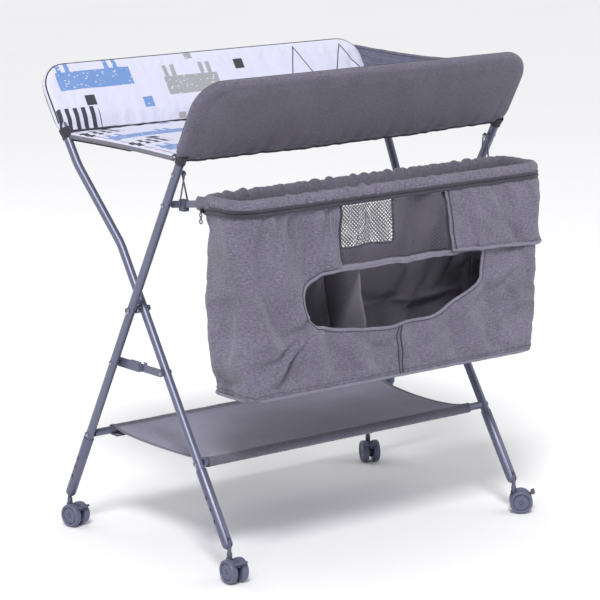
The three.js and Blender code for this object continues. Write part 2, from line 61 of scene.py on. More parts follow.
FRONT_TUBE_Z, BACK_TUBE_Z, BRACE_Z = 0.208, 0.205, 0.367
ARM_Z, BAIL_Z = 0.701, 0.763
WHEEL, TRAIL = 0.0235, 0.015
TRAIL_DEG = {"front_left": 267.7, "front_right": 320.7, "back_left": 282, "back_right": 245}
WALL_HALF, WALL_CORNER, WALL_FOOT, WALL_ROLL = 0.404, 0.060, 0.014, 0.011
SIDES = {"left": -1, "right": 1}
CLOTH = 0.0014  # the thickness of the bag's and the shelf's cloth
SHARP = math.radians(40)  # a moulded or turned edge sharper than this stays crisp


def straight_y(z):
    return PIVOT_Y + STRAIGHT_SLOPE * (z - PIVOT_Z)


def bent_y(z):
    return PIVOT_Y + BENT_SLOPE * (z - PIVOT_Z)


def bent_high_y(z):
    return bent_y(BEND_LOW) + BENT_HIGH_SLOPE * (z - BEND_LOW)


def smooth(value, low, high):
    """0 below low, 1 above high, and a smooth rise between them."""
    t = np.clip((np.asarray(value, float) - low) / (high - low), 0, 1)
    return t * t * (3 - 2 * t)


def ripple(x, wavelength, seed, octaves=3):
    """A smooth wavy line from -1 to 1 whose bumps are about a wavelength apart, the same each run."""
    draw = np.random.default_rng(seed)
    total = np.zeros_like(np.asarray(x, float))
    for octave in range(octaves):
        for _ in range(3):
            pace = (0.7 + 0.6 * draw.random()) * 2 ** octave / wavelength
            total = total + np.sin(2 * np.pi * (x * pace + draw.random())) / 2 ** octave
    return total / 5.25


# ---- node materials ----
class Wire:
    """A number inside a node tree: arithmetic on it adds Math nodes."""

    def __init__(self, tree, socket):
        self.tree, self.socket = tree, socket

    def math(self, operation, *others, clamp=False):
        node = self.tree.nodes.new("ShaderNodeMath")
        node.operation, node.use_clamp = operation, clamp
        for slot, value in zip(node.inputs, (self, *others)):
            if isinstance(value, Wire):
                self.tree.links.new(value.socket, slot)
            else:
                slot.default_value = value
        return Wire(self.tree, node.outputs[0])

    def __add__(self, other):
        return self.math("ADD", other)

    def __sub__(self, other):
        return self.math("SUBTRACT", other)

    def __mul__(self, other):
        return self.math("MULTIPLY", other)

    def size(self):
        return self.math("ABSOLUTE")

    def most(self, other):
        return self.math("MAXIMUM", other)

    def least(self, other):
        return self.math("MINIMUM", other)

    def wave(self, length):
        return (self * (2 * math.pi / length)).math("SINE")

    def wrap(self, low, high):
        return self.math("WRAP", high, low)

    def inside(self, soft):
        """1 where the number is above 0 and 0 where it is below, over a soft edge."""
        return (self * (1 / soft)).math("ADD", 0.5, clamp=True)


class Paint:
    """A material whose colour, roughness and bump come from wires."""

    def __init__(self, name):
        self.material = bpy.data.materials.new(name)
        self.material.use_nodes = True
        self.tree = self.material.node_tree
        self.shader = self.tree.nodes["Principled BSDF"]
        self.place = self.tree.nodes.new("ShaderNodeTexCoord")

    def split(self, output):
        node = self.tree.nodes.new("ShaderNodeSeparateXYZ")
        self.tree.links.new(self.place.outputs[output], node.inputs[0])
        return [Wire(self.tree, socket) for socket in node.outputs]

    def join(self, x, y, z=0.0):
        node = self.tree.nodes.new("ShaderNodeCombineXYZ")
        for slot, value in zip(node.inputs, (x, y, z)):
            if isinstance(value, Wire):
                self.tree.links.new(value.socket, slot)
            else:
                slot.default_value = value
        return node.outputs[0]

    def noise(self, vector, scale=1.0, detail=2.0, roughness=0.5):
        node = self.tree.nodes.new("ShaderNodeTexNoise")
        self.tree.links.new(vector, node.inputs["Vector"])
        node.inputs["Scale"].default_value = scale
        node.inputs["Detail"].default_value = detail
        node.inputs["Roughness"].default_value = roughness
        return Wire(self.tree, node.outputs[0])

    def spots(self, vector, scale, radius):
        """Round specks, one to a cell: 1 inside a speck."""
        node = self.tree.nodes.new("ShaderNodeTexVoronoi")
        self.tree.links.new(vector, node.inputs["Vector"])
        node.inputs["Scale"].default_value = scale
        return (Wire(self.tree, node.outputs["Distance"]) * -1 + radius).inside(0.08)

    def mix(self, share, low, high):
        node = self.tree.nodes.new("ShaderNodeMix")
        node.data_type = "RGBA"
        self.tree.links.new(share.socket, node.inputs["Factor"])
        for slot, value in ((node.inputs[6], low), (node.inputs[7], high)):
            if isinstance(value, bpy.types.NodeSocket):
                self.tree.links.new(value, slot)
            else:
                slot.default_value = (*value, 1)
        return node.outputs[2]

    def ramp(self, share, low, high):
        """A number from low to high as the share goes from 0 to 1."""
        return share * (high - low) + low

    def colour(self, socket):
        self.tree.links.new(socket, self.shader.inputs["Base Color"])

    def rough(self, wire):
        self.tree.links.new(wire.socket, self.shader.inputs["Roughness"])

    def bump(self, height, distance):
        node = self.tree.nodes.new("ShaderNodeBump")
        node.inputs["Distance"].default_value = distance
        self.tree.links.new(height.socket, node.inputs["Height"])
        self.tree.links.new(node.outputs[0], self.shader.inputs["Normal"])

    def set(self, **values):
        for name, value in values.items():
            self.shader.inputs[name.replace("_", " ").title().replace("Ior", "IOR")].default_value = value
        return self.material


def linear(red, green, blue):
    """A display colour from 0 to 255 as scene-linear numbers."""
    shares = [c / 255 for c in (red, green, blue)]
    return tuple(s / 12.92 if s <= 0.04045 else ((s + 0.055) / 1.055) ** 2.4 for s in shares)


def shade(colour, factor):
    return tuple(c * factor for c in colour)


THREAD = 0.0011  # the pitch of the weave
MELANGE = 0.0030  # the size of its light and dark flecks


def heather(name, colour, contrast=0.34, sheen=0.25):
    """A melange weave: flecks of lighter and darker yarn, broad fading, and a plain weave's bumps."""
    paint = Paint(name)
    u, v, _ = paint.split("UV")
    flecks = paint.noise(paint.join(u * (1 / (1.7 * MELANGE)), v * (1 / MELANGE)), 1, 3, 0.7)
    yarns = paint.noise(paint.join(u * (1 / 0.012), v * (1 / THREAD)), 1, 1)
    clouds = paint.noise(paint.join(u, v), 14, 2)
    tone = (flecks - 0.5) * 1.5 + (yarns - 0.5) * 0.6 + (clouds - 0.5) * 0.35 + 0.5
    tone = tone.math("ADD", 0, clamp=True)
    paint.colour(paint.mix(tone, shade(colour, 1 - contrast), shade(colour, 1 + contrast)))
    weave = u.wave(2 * THREAD) * v.wave(2 * THREAD)
    paint.bump(weave * 0.5 + flecks * 0.6, 0.0005)
    paint.rough(paint.ramp(flecks, 0.82, 0.98))
    return paint.set(sheen_weight=sheen, sheen_roughness=0.45)


def webbing(name, colour):
    """A narrow ribbed tape, for bindings and piping: ribs across it and a slight shine."""
    paint = Paint(name)
    u, v, _ = paint.split("UV")
    wear = paint.noise(paint.join(u, v), 60, 2)
    ribs = u.wave(0.0014)
    paint.colour(paint.mix(wear, shade(colour, 0.8), shade(colour, 1.18)))
    paint.bump(ribs * 0.5 + wear, 0.0003)
    paint.rough(paint.ramp(wear, 0.6, 0.8))
    return paint.set(sheen_weight=0.15, sheen_roughness=0.5)


WHITE_CLOTH = linear(208, 208, 228)
PRINT_BLUE, PRINT_GREY, PRINT_BLACK = linear(108, 142, 196), linear(156, 156, 161), linear(50, 50, 60)


def block(u, v, middle, half, corner=0.004):
    """1 inside a rounded block of the print."""
    x = (u - middle[0]).size() * -1 + half[0]
    y = (v - middle[1]).size() * -1 + half[1]
    return x.math("SMOOTH_MIN", y, corner).inside(0.0007)


def comb(u, v, left, low, length, height, pegs, peg_height):
    """A generic motif: a long block with short pegs standing on it."""
    shape = block(u, v, (left + length / 2, low + height / 2), (length / 2, height / 2))
    for place in pegs:
        peg = block(u, v, (left + place, low + height), (0.005, peg_height))
        shape = shape.most(peg)
    return shape


def outline_tent(u, v, x, foot, height, half):
    """A generic motif: a triangle drawn as three thin lines that cross at its peak."""
    side = ((u - x).size() * (height / half) + v - (foot + height)).size()
    side = side * (half / math.hypot(half, height))
    sides = (side * -1 + 0.0013).inside(0.0007)
    reach = ((v - (foot + height * 0.55)).size() * -1 + height * 0.6).inside(0.0007)
    base = block(u, v, (x, foot), (half, 0.0013), 0.0005)
    return sides.least(reach).most(base)


def printed(name, shift=(0.0, 0.0), turn_over=None):
    """White coated cotton with a generic print of blocks, pegs, squares and tents."""
    paint = Paint(name)
    u, v, _ = paint.split("UV")
    a, b = u + shift[0], v + shift[1]
    if turn_over:
        b = b.wrap(*turn_over)
    specks = paint.spots(paint.join(a * 1.0, b * 1.6), 95, 0.21)
    blue = comb(a, b, -0.372, 0.087, 0.174, 0.040, (0.010, 0.030, 0.122, 0.143), 0.022)
    blue = blue.most(block(a, b, (-0.180, 0.046), (0.0115, 0.0110), 0.001))
    for x in (0.118, 0.132):
        blue = blue.most(block(a, b, (x, 0.156), (0.004, 0.010), 0.003))
    grey = comb(a, b, -0.124, 0.056, 0.132, 0.040, (0.010, 0.028, 0.098, 0.116), 0.026)
    grey = grey.most(block(a, b, (-0.048, 0.139), (0.009, 0.0075), 0.001))
    grey = grey.most(block(a, b, (-0.108, 0.012), (0.009, 0.006), 0.001))
    arch = block(a, b, (-0.352, 0.020), (0.050, 0.028), 0.02)
    black = arch.least(a.wave(0.019).inside(0.12))
    for place in ((-0.313, 0.061), (0.070, 0.110), (0.296, 0.050)):
        black = black.most(block(a, b, place, (0.0115, 0.0110), 0.001))
    for tent in ((0.222, 0.058, 0.078, 0.034), (0.345, 0.052, 0.080, 0.042)):
        black = black.most(outline_tent(a, b, *tent))
    crease = paint.noise(paint.join(u, v), 30, 3)
    white = paint.mix(crease, shade(WHITE_CLOTH, 0.97), WHITE_CLOTH)
    cloth = paint.mix(blue.least(specks * -1 + 1), white, PRINT_BLUE)
    cloth = paint.mix(grey.least(specks * -1 + 1), cloth, PRINT_GREY)
    paint.colour(paint.mix(black, cloth, PRINT_BLACK))
    weave = u.wave(2 * THREAD) * v.wave(2 * THREAD)
    paint.bump(weave * 0.3 + crease, 0.0004)
    paint.rough(paint.ramp(crease, 0.55, 0.72))
    return paint.set(sheen_weight=0.1)


def painted_metal(name, colour):
    """Satin powder coat: a fine orange peel and slightly uneven gloss."""
    paint = Paint(name)
    place = paint.place.outputs["Object"]
    peel = paint.noise(place, 900, 2)
    patches = paint.noise(place, 22, 3)
    paint.colour(paint.mix(patches, shade(colour, 0.9), shade(colour, 1.1)))
    paint.bump(peel, 0.00012)
    paint.rough(paint.ramp(patches, 0.30, 0.42))
    return paint.set(metallic=0.35, coat_weight=0.25, coat_roughness=0.25)


def bare_metal(name, colour, roughness):
    paint = Paint(name)
    place = paint.place.outputs["Object"]
    scratches = paint.noise(place, 1400, 3, 0.7)
    tarnish = paint.noise(place, 120, 2)
    paint.colour(paint.mix(tarnish, shade(colour, 0.85), shade(colour, 1.1)))
    paint.bump(scratches, 0.00006)
    paint.rough(paint.ramp(scratches, roughness - 0.08, roughness + 0.1))
    return paint.set(metallic=1.0)


def moulded(name, colour, roughness=0.45):
    """Moulded plastic with a spark-eroded grain and faint flow marks."""
    paint = Paint(name)
    place = paint.place.outputs["Object"]
    grain = paint.noise(place, 2200, 2)
    flow = paint.noise(place, 45, 2)
    paint.colour(paint.mix(flow, shade(colour, 0.92), shade(colour, 1.08)))
    paint.bump(grain, 0.00008)
    paint.rough(paint.ramp(flow, roughness - 0.06, roughness + 0.08))
    return paint.set(specular_ior_level=0.45)


LEG_PAINT = painted_metal("leg_paint", linear(104, 107, 130))
SLEEVE_PAINT = painted_metal("sleeve_paint", linear(96, 97, 120))
STEEL = bare_metal("steel", linear(165, 165, 176), 0.3)
WIRE = bare_metal("bail_wire", linear(120, 120, 136), 0.35)
ZIP_METAL = bare_metal("zip_metal", linear(92, 92, 104), 0.35)
PLASTIC = moulded("caster_plastic", linear(86, 88, 110))
WHEEL_PLASTIC = moulded("wheel_plastic", linear(92, 95, 118), 0.4)
DARK_PLASTIC = moulded("dark_plastic", linear(46, 46, 56), 0.5)
WALL_CLOTH = heather("wall_cloth", linear(99, 95, 112), 0.52)
BAG_CLOTH = heather("bag_cloth", linear(108, 104, 122), 0.74)
SHELF_CLOTH = heather("shelf_cloth", linear(138, 135, 157), 0.34)
END_CLOTH = heather("end_cloth", linear(100, 98, 120), 0.2)
INNER_CLOTH = heather("inner_cloth", linear(116, 112, 126), 0.28)
BINDING = webbing("binding", linear(122, 118, 137))
DARK_TAPE = webbing("dark_tape", linear(46, 45, 60))
GREY_TAPE = webbing("grey_tape", linear(104, 101, 118))
NET = webbing("net", linear(88, 85, 100))
THREAD_LIGHT = webbing("thread", linear(158, 155, 172))
LINING = printed("lining_print")
MAT_PRINT = printed("mat_print", (0.0, 0.02), (0.0, 0.17))


# ---- mesh tools ----
def unit(rows):
    return rows / np.linalg.norm(rows, axis=1, keepdims=True)


def distances(path):
    """How far along a path each of its points is."""
    return np.concatenate([[0], np.cumsum(np.linalg.norm(np.diff(path, axis=0), axis=1))])


def grid(rows, columns):
    """The faces between points that are kept row by row."""
    return [(i * columns + j, i * columns + j + 1, (i + 1) * columns + j + 1, (i + 1) * columns + j)
            for i in range(rows - 1) for j in range(columns - 1)]


def place_in_scene(name, data):
    made = bpy.data.objects.new(name, data)
    bpy.context.scene.collection.objects.link(made)
    return made


def make_piece(name, points, faces, materials, uvs=None, face_material=None):
    """A smooth mesh object. uvs is one pair for each point, or one for each corner of each face."""
    mesh = bpy.data.meshes.new(name)
    mesh.from_pydata([tuple(map(float, p)) for p in points], [], [tuple(map(int, f)) for f in faces])
    for material in materials:
        mesh.materials.append(material)
    if uvs is not None:
        uvs = np.asarray(uvs, float)
        if len(uvs) == len(mesh.vertices) and len(uvs) != len(mesh.loops):
            corner = np.zeros(len(mesh.loops), int)
            mesh.loops.foreach_get("vertex_index", corner)
            uvs = uvs[corner]
        mesh.uv_layers.new(name="UVMap").data.foreach_set("uv", uvs.ravel())
    mesh.polygons.foreach_set("use_smooth", np.ones(len(mesh.polygons), bool))
    if face_material is not None:
        mesh.polygons.foreach_set("material_index", np.asarray(face_material, np.int32))
    mesh.update()
    return place_in_scene(name, mesh)


def points_of(piece):
    co = np.zeros(len(piece.data.vertices) * 3)
    piece.data.vertices.foreach_get("co", co)
    return co.reshape(-1, 3)


def set_points(piece, points):
    piece.data.vertices.foreach_set("co", np.asarray(points, float).ravel())
    piece.data.update()


def apply_modifiers(piece):
    bpy.context.view_layer.update()
    shown = piece.evaluated_get(bpy.context.evaluated_depsgraph_get())
    mesh = bpy.data.meshes.new_from_object(shown)
    piece.modifiers.clear()
    piece.data = mesh


def keep_crisp(piece):
    """Smooth faces that meet at crisp edges."""
    piece.data.polygons.foreach_set("use_smooth", np.ones(len(piece.data.polygons), bool))
    piece.data.set_sharp_from_angle(angle=SHARP)


def refine(piece):
    """Adds one level of subdivision and applies it."""
    modifier = piece.modifiers.new("refine", "SUBSURF")
    modifier.levels = modifier.render_levels = 1
    modifier.boundary_smooth = "PRESERVE_CORNERS"
    apply_modifiers(piece)


def soften_edges(piece, width):
    """Rounds the edges of a moulded or cut piece, and keeps its flats flat."""
    bevel = piece.modifiers.new("soften", "BEVEL")
    bevel.width, bevel.segments, bevel.limit_method = width, 3, "ANGLE"
    bevel.angle_limit = math.radians(35)
    apply_modifiers(piece)
    keep_crisp(piece)


def thicken(piece, thickness):
    """Gives a sheet its cloth's thickness, half on each side."""
    modifier = piece.modifiers.new("thickness", "SOLIDIFY")
    modifier.thickness, modifier.offset = thickness, 0
    modifier.use_even_offset = False


def closed_line(points):
    return np.concatenate([points, points[:1]])


def circle(radius, sides=24):
    turn = np.arange(sides) * 2 * np.pi / sides
    return np.stack([radius * np.cos(turn), radius * np.sin(turn)], 1)


def rounded(corners, radius, steps=10):
    """A path through corners, each inner one rounded to about its radius."""
    corners = [np.array(c, float) for c in corners]
    points = [corners[0]]
    for before, corner, after in zip(corners, corners[1:], corners[2:]):
        back, ahead = (v / np.linalg.norm(v) for v in (before - corner, after - corner))
        reach = radius / math.tan(math.acos(np.clip(back @ ahead, -1, 1)) / 2)
        for t in np.linspace(0, 1, steps + 1):
            a, b = corner + back * reach * (1 - t), corner + ahead * reach * t
            points.append(a * (1 - t) + b * t)
    points.append(corners[-1])
    return np.array(points)


def frames_along(path, first=None):
    """A normal at each point of a path, carried along without twisting."""
    tangents = unit(np.gradient(path, axis=0))
    normal = np.array(first if first is not None else (0.31, 0.52, 0.79), float)
    normals = []
    for tangent in tangents:
        normal = normal - (normal @ tangent) * tangent
        normal /= np.linalg.norm(normal)
        normals.append(normal)
    return tangents, np.array(normals)


def sweep(name, path, section, materials, normals=None, first=None, loop=False, caps=True):
    """A closed section carried along a path.

    section is (n, 2), or (path points, n, 2): out along the normal, and across.
    """
    path = np.asarray(path, float)
    if loop:
        tangents = unit(np.roll(path, -1, 0) - np.roll(path, 1, 0))
    else:
        tangents, carried = frames_along(path, first)
        normals = carried if normals is None else normals
    across = np.cross(tangents, normals)
    section = np.asarray(section, float)
    sections = section if section.ndim == 3 else np.repeat(section[None], len(path), 0)
    rings = path[:, None] + sections[..., :1] * normals[:, None] + sections[..., 1:] * across[:, None]
    count, sides = rings.shape[:2]
    along, girth = distances(path), distances(closed_line(sections[0]))
    faces, uvs = [], []
    last_u = along[-1] + np.linalg.norm(path[0] - path[-1])
    for i in range(count if loop else count - 1):
        k = (i + 1) % count
        u = (along[i], along[k] if k else last_u)
        for j in range(sides):
            m = (j + 1) % sides
            faces.append((i * sides + j, k * sides + j, k * sides + m, i * sides + m))
            uvs += [(u[0], girth[j]), (u[1], girth[j]), (u[1], girth[j + 1]), (u[0], girth[j + 1])]
    if caps and not loop:
        for ring, order in ((0, 1), (count - 1, -1)):
            faces.append(tuple(ring * sides + j for j in range(sides))[::order])
            uvs += [tuple(p) for p in sections[ring][::order]]
    return fix_normals(make_piece(name, rings.reshape(-1, 3), faces, materials, uvs))


def fix_normals(piece):
    """Turns the faces of a closed piece outwards."""
    shape = bmesh.new()
    shape.from_mesh(piece.data)
    bmesh.ops.recalc_face_normals(shape, faces=shape.faces)
    shape.to_mesh(piece.data)
    shape.free()
    return piece


def turned(name, profile, place, materials, sides=32):
    """A profile of (along, radius) turned about the local X axis, then set in place by a matrix."""
    path = np.array([(a, 0, 0) for a, _ in profile], float)
    radii = np.array([max(r, 1e-5) for _, r in profile])
    turn = np.arange(sides) * 2 * np.pi / sides
    rings = path[:, None] + radii[:, None, None] * np.stack([0 * turn, np.cos(turn), np.sin(turn)], 1)[None]
    count = len(profile)
    faces = [
        (i * sides + j, i * sides + (j + 1) % sides, (i + 1) * sides + (j + 1) % sides, (i + 1) * sides + j)
        for i in range(count - 1)
        for j in range(sides)
    ]
    faces.append(tuple(range(sides))[::-1])
    faces.append(tuple((count - 1) * sides + j for j in range(sides)))
    piece = make_piece(name, rings.reshape(-1, 3), faces, materials)
    piece.data.transform(place)
    fix_normals(piece)
    piece.data.set_sharp_from_angle(angle=SHARP)
    return piece


def plate(name, outline, thickness, place, materials, bevel):
    """An outline in the local X-Y plane, thickened to both sides along Z, with softened edges."""
    n = len(outline)
    points = [(x, y, z) for z in (0, thickness) for x, y in outline]
    faces = [tuple(range(n))[::-1], tuple(range(n, 2 * n))]
    faces += [(i, (i + 1) % n, n + (i + 1) % n, n + i) for i in range(n)]
    piece = make_piece(name, points, faces, materials)
    piece.data.transform(place @ Matrix.Translation((0, 0, -thickness / 2)))
    fix_normals(piece)
    soften_edges(piece, bevel)
    return piece


def join(name, pieces):
    """Several pieces as one, with the first one's materials first."""
    with bpy.context.temp_override(active_object=pieces[0], selected_editable_objects=pieces):
        bpy.ops.object.join()
    pieces[0].name = name
    return pieces[0]


def arc(x, y, radius, start, end, steps=8):
    """Points of an arc, its angles in degrees."""
    turn = np.radians(np.linspace(start, end, steps + 1))
    return [(x + radius * math.cos(t), y + radius * math.sin(t)) for t in turn]


def stitches(name, path, normals, materials, length=0.0032, gap=0.0016, width=0.0005):
    """A row of sewn stitches along a path: one small rounded bar each."""
    path, normals = np.asarray(path, float), np.asarray(normals, float)
    along = distances(path)
    starts = np.arange(0, along[-1] - length, length + gap)

    def at(where, values):
        return np.stack([np.interp(where, along, values[:, k]) for k in range(3)], -1)

    ends = [at(starts + length * share, path) for share in (0.0, 0.25, 0.75, 1.0)]
    normal = unit(at(starts + length / 2, normals))
    side = np.cross(unit(ends[3] - ends[0]), normal)
    girth = circle(1, 5)
    rings = []
    for end, share, lift in zip(ends, (0.4, 1.0, 1.0, 0.4), (-0.4, 0.5, 0.5, -0.4)):
        turn = girth[None, :, :1] * normal[:, None] + girth[None, :, 1:] * side[:, None]
        rings.append((end + normal * width * lift)[:, None] + width * share * turn)
    points = np.stack(rings, 1).reshape(-1, 3)
    faces = []
    for k in range(len(starts)):
        base = k * 20
        for ring in (base, base + 5, base + 10):
            for j in range(5):
                m = (j + 1) % 5
                faces.append((ring + j, ring + m, ring + 5 + m, ring + 5 + j))
        faces.append(tuple(base + j for j in range(5))[::-1])
        faces.append(tuple(base + 15 + j for j in range(5)))
    return make_piece(name, points, faces, materials, points[:, :2])


# ---- cloth tools ----
def near_line(points, line):
    """How far each flat point is from a line."""
    line = np.asarray(line, float)
    best = np.full(len(points), np.inf)
    for a, b in zip(line, line[1:]):
        d = b - a
        t = np.clip(((points - a) @ d) / max(d @ d, 1e-18), 0, 1)
        best = np.minimum(best, np.linalg.norm(points - a - t[:, None] * d, axis=1))
    return best


def near_outline(points, outline):
    """How far each flat point is from a closed outline."""
    return near_line(points, closed_line(outline))


def within(points, outline):
    """Whether each flat point is inside a closed outline."""
    x, y = np.asarray(points, float).T
    odd = np.zeros(len(x), bool)
    outline = np.asarray(outline, float)
    for (ax, ay), (bx, by) in zip(outline, np.roll(outline, -1, 0)):
        if ay != by:
            crosses = (ay > y) != (by > y)
            odd ^= crosses & (x < (bx - ax) * (y - ay) / (by - ay) + ax)
    return odd


def even(outline, spacing, closed=True):
    """The same line with a point about every spacing, its corners kept."""
    outline = np.asarray(outline, float)
    ends = np.roll(outline, -1, 0) if closed else outline[1:]
    points = []
    for a, b in zip(outline, ends):
        steps = max(1, round(np.linalg.norm(b - a) / spacing))
        points += [a + (b - a) * i / steps for i in range(steps)]
    if not closed:
        points.append(outline[-1])
    return np.array(points)


def cut_flat(outline, spacing, loops=()):
    """Cloth cut flat: points and even triangles inside an outline, with edges along each loop."""
    rings = [even(outline, spacing), *[even(loop, spacing) for loop in loops]]
    low, high = rings[0].min(0), rings[0].max(0)
    rows = []
    for k, y in enumerate(np.arange(low[1], high[1], spacing * 0.87)):
        xs = np.arange(low[0] + (k % 2) * spacing / 2, high[0], spacing)
        rows.append(np.stack([xs, np.full(len(xs), y)], 1))
    inner = np.concatenate(rows)
    inner = inner[within(inner, rings[0])]
    for ring in rings:
        inner = inner[near_outline(inner, ring) > 0.55 * spacing]
    points, edges, start = [*inner], [], len(inner)
    for ring in rings:
        n = len(ring)
        points += [*ring]
        edges += [(start + i, start + (i + 1) % n) for i in range(n)]
        start += n
    made = delaunay_2d_cdt([Vector(p) for p in points], edges, [], 0, 1e-7)
    flat = np.array([tuple(p) for p in made[0]])
    triangles = np.array(made[2])
    middle = flat[triangles].mean(1)
    return flat, triangles[within(middle, rings[0])]


def two_layers(flat, front, edge, near, far):
    """A closed pad: a near and a far layer of the same cut, joined at the edge points.

    Gives its points, faces and texture places, the points that the far layer has of its own, and each
    point's index in the far layer.
    """
    spare = np.nonzero(~edge)[0]
    other = np.arange(len(flat))
    other[spare] = len(flat) + np.arange(len(spare))
    back = front[:, ::-1]
    uvs = np.concatenate([flat[front], flat[back]]).reshape(-1, 2)
    return np.concatenate([near, far[spare]]), np.concatenate([front, other[back]]), uvs, spare, other


def settle(piece, pinned, frames, cap, pressure=0.0, gravity=0.0, shrink=0.0, stiffness=8, bending=0.5):
    """Runs a cloth simulation, caps how far each point moves, and keeps the result in the mesh."""
    before = points_of(piece)
    group = piece.vertex_groups.new(name="pinned")
    for index in np.nonzero(np.asarray(pinned) > 0)[0]:
        group.add([int(index)], float(pinned[index]), "REPLACE")
    modifier = piece.modifiers.new("cloth", "CLOTH")
    cloth = modifier.settings
    cloth.quality, cloth.mass, cloth.air_damping = 6, 0.2, 4
    cloth.tension_stiffness = cloth.compression_stiffness = cloth.shear_stiffness = stiffness
    cloth.bending_stiffness = bending
    cloth.vertex_group_mass = "pinned"
    cloth.shrink_min = shrink
    cloth.use_pressure = pressure > 0
    cloth.uniform_pressure_force = pressure
    cloth.effector_weights.gravity = gravity
    modifier.point_cache.frame_end = frames
    scene = bpy.context.scene
    for number in range(1, frames + 1):
        scene.frame_set(number)
    shown = piece.evaluated_get(bpy.context.evaluated_depsgraph_get())
    after = np.zeros(len(before) * 3)
    shown.data.vertices.foreach_get("co", after)
    move = after.reshape(-1, 3) - before
    move[~np.isfinite(move).all(1)] = 0
    length = np.maximum(np.linalg.norm(move, axis=1, keepdims=True), 1e-9)
    move *= cap * np.tanh(length / cap) / length
    piece.modifiers.remove(modifier)
    piece.vertex_groups.clear()
    scene.frame_set(1)
    set_points(piece, before + move)


class Draped:
    """A cut of cloth and where each of its points hangs: it maps a flat place to one on the cloth."""

    def __init__(self, flat, triangles, points):
        self.flat, self.triangles, self.points = flat, triangles, points
        corners = [tuple(map(int, t)) for t in triangles]
        self.tree = BVHTree.FromPolygons([Vector((*p, 0)) for p in flat], corners)
        sides = points[triangles]
        flow = np.cross(sides[:, 1] - sides[:, 0], sides[:, 2] - sides[:, 0])
        self.normals = np.zeros_like(points)
        for k in range(3):
            np.add.at(self.normals, triangles[:, k], flow)
        self.normals /= np.maximum(np.linalg.norm(self.normals, axis=1, keepdims=True), 1e-12)

    def at(self, places, out=0.0):
        """The points on the cloth over flat places, moved out along its normal, and those normals."""
        spots, normals = [], []
        out = np.broadcast_to(out, len(places))
        for (x, y), lift in zip(places, out):
            near, _, face, _ = self.tree.find_nearest(Vector((x, y, 0)))
            corner = self.triangles[face]
            a, b, c = self.flat[corner]
            place = np.array(near[:2])
            across, up, reach = b - a, c - a, place - a
            area = across[0] * up[1] - across[1] * up[0]
            if abs(area) < 1e-9:  # a sliver at an edge: the nearest corner stands for it
                share = np.zeros(3)
                share[np.argmin(np.linalg.norm(self.flat[corner] - place, axis=1))] = 1
            else:
                second = (reach[0] * up[1] - reach[1] * up[0]) / area
                third = (across[0] * reach[1] - across[1] * reach[0]) / area
                share = np.clip([1 - second - third, second, third], 0, 1)
                share /= share.sum()
            normal = share @ self.normals[corner]
            normal /= max(np.linalg.norm(normal), 1e-9)
            spots.append(share @ self.points[corner] + normal * lift)
            normals.append(normal)
        return np.array(spots), np.array(normals)


def tape(name, cloth, path, half, height, materials, out=0.0):
    """A flat tape sewn along a line of the cloth: its section is a low rounded strip."""
    path = even(path, 0.005, closed=False)
    ahead = unit(np.gradient(path, axis=0))
    side = np.stack([-ahead[:, 1], ahead[:, 0]], 1)
    section = [(-1, -0.4), (-1, 0.5), (-0.8, 1), (0, 1.12), (0.8, 1), (1, 0.5), (1, -0.4)]
    rings = [cloth.at(path + side * half * w, out + height * h)[0] for w, h in section]
    points = np.stack(rings, 1)
    count, sides = points.shape[:2]
    along = distances(path)
    faces, uvs = [], []
    for i in range(count - 1):
        for j in range(sides):
            m = (j + 1) % sides
            faces.append((i * sides + j, (i + 1) * sides + j, (i + 1) * sides + m, i * sides + m))
            low, high = j * half / 3, (j + 1) * half / 3
            uvs += [(along[i], low), (along[i + 1], low), (along[i + 1], high), (along[i], high)]
    faces += [tuple(range(sides))[::-1], tuple((count - 1) * sides + j for j in range(sides))]
    uvs += [(0, 0)] * (2 * sides)
    return fix_normals(make_piece(name, points.reshape(-1, 3), faces, materials, uvs))


def seam(name, cloth, path, materials, out=0.0008):
    """A row of stitches along a line of the cloth."""
    places, normals = cloth.at(even(path, 0.004, closed=False), out)
    return stitches(name, places, normals, materials)


# ---- placing pieces on the table's bodies ----
def facing(origin, x_axis, y_hint=(0, 0, 1)):
    """A frame at origin whose X runs along x_axis, with Y as near y_hint as it can be."""
    x = Vector(x_axis).normalized()
    z = x.cross(Vector(y_hint)).normalized()
    y = z.cross(x)
    return Matrix((
        (x.x, y.x, z.x, origin[0]),
        (x.y, y.y, z.y, origin[1]),
        (x.z, y.z, z.z, origin[2]),
        (0, 0, 0, 1),
    ))


def name_slot(nodes):
    if nodes:
        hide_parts(*nodes)


def fit(piece, body, slot_name, *nodes):
    """A rigid piece on its body, in place of its CAD nodes."""
    name_slot(nodes)
    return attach(piece, body)


def pipe(name, path, outer, inner, materials, sides=28):
    """A hollow tube along a path."""
    path = np.asarray(path, float)
    tangents, normals = frames_along(path)
    across = np.cross(tangents, normals)
    turn = circle(1, sides)
    ring = turn[:, :1] * normals[:, None] + turn[:, 1:] * across[:, None]
    points = np.concatenate([(path[:, None] + radius * ring).reshape(-1, 3) for radius in (outer, inner)])
    count, skin = len(path), len(path) * sides
    faces = []
    for j in range(sides):
        m = (j + 1) % sides
        for i in range(count - 1):
            a, b, c, d = i * sides + j, (i + 1) * sides + j, (i + 1) * sides + m, i * sides + m
            faces += [(a, b, c, d), (skin + d, skin + c, skin + b, skin + a)]
        for i in (0, count - 1):
            faces.append((i * sides + j, i * sides + m, skin + i * sides + m, skin + i * sides + j))
    piece = make_piece(name, points, faces, materials)
    fix_normals(piece)
    piece.data.set_sharp_from_angle(angle=SHARP)
    return piece


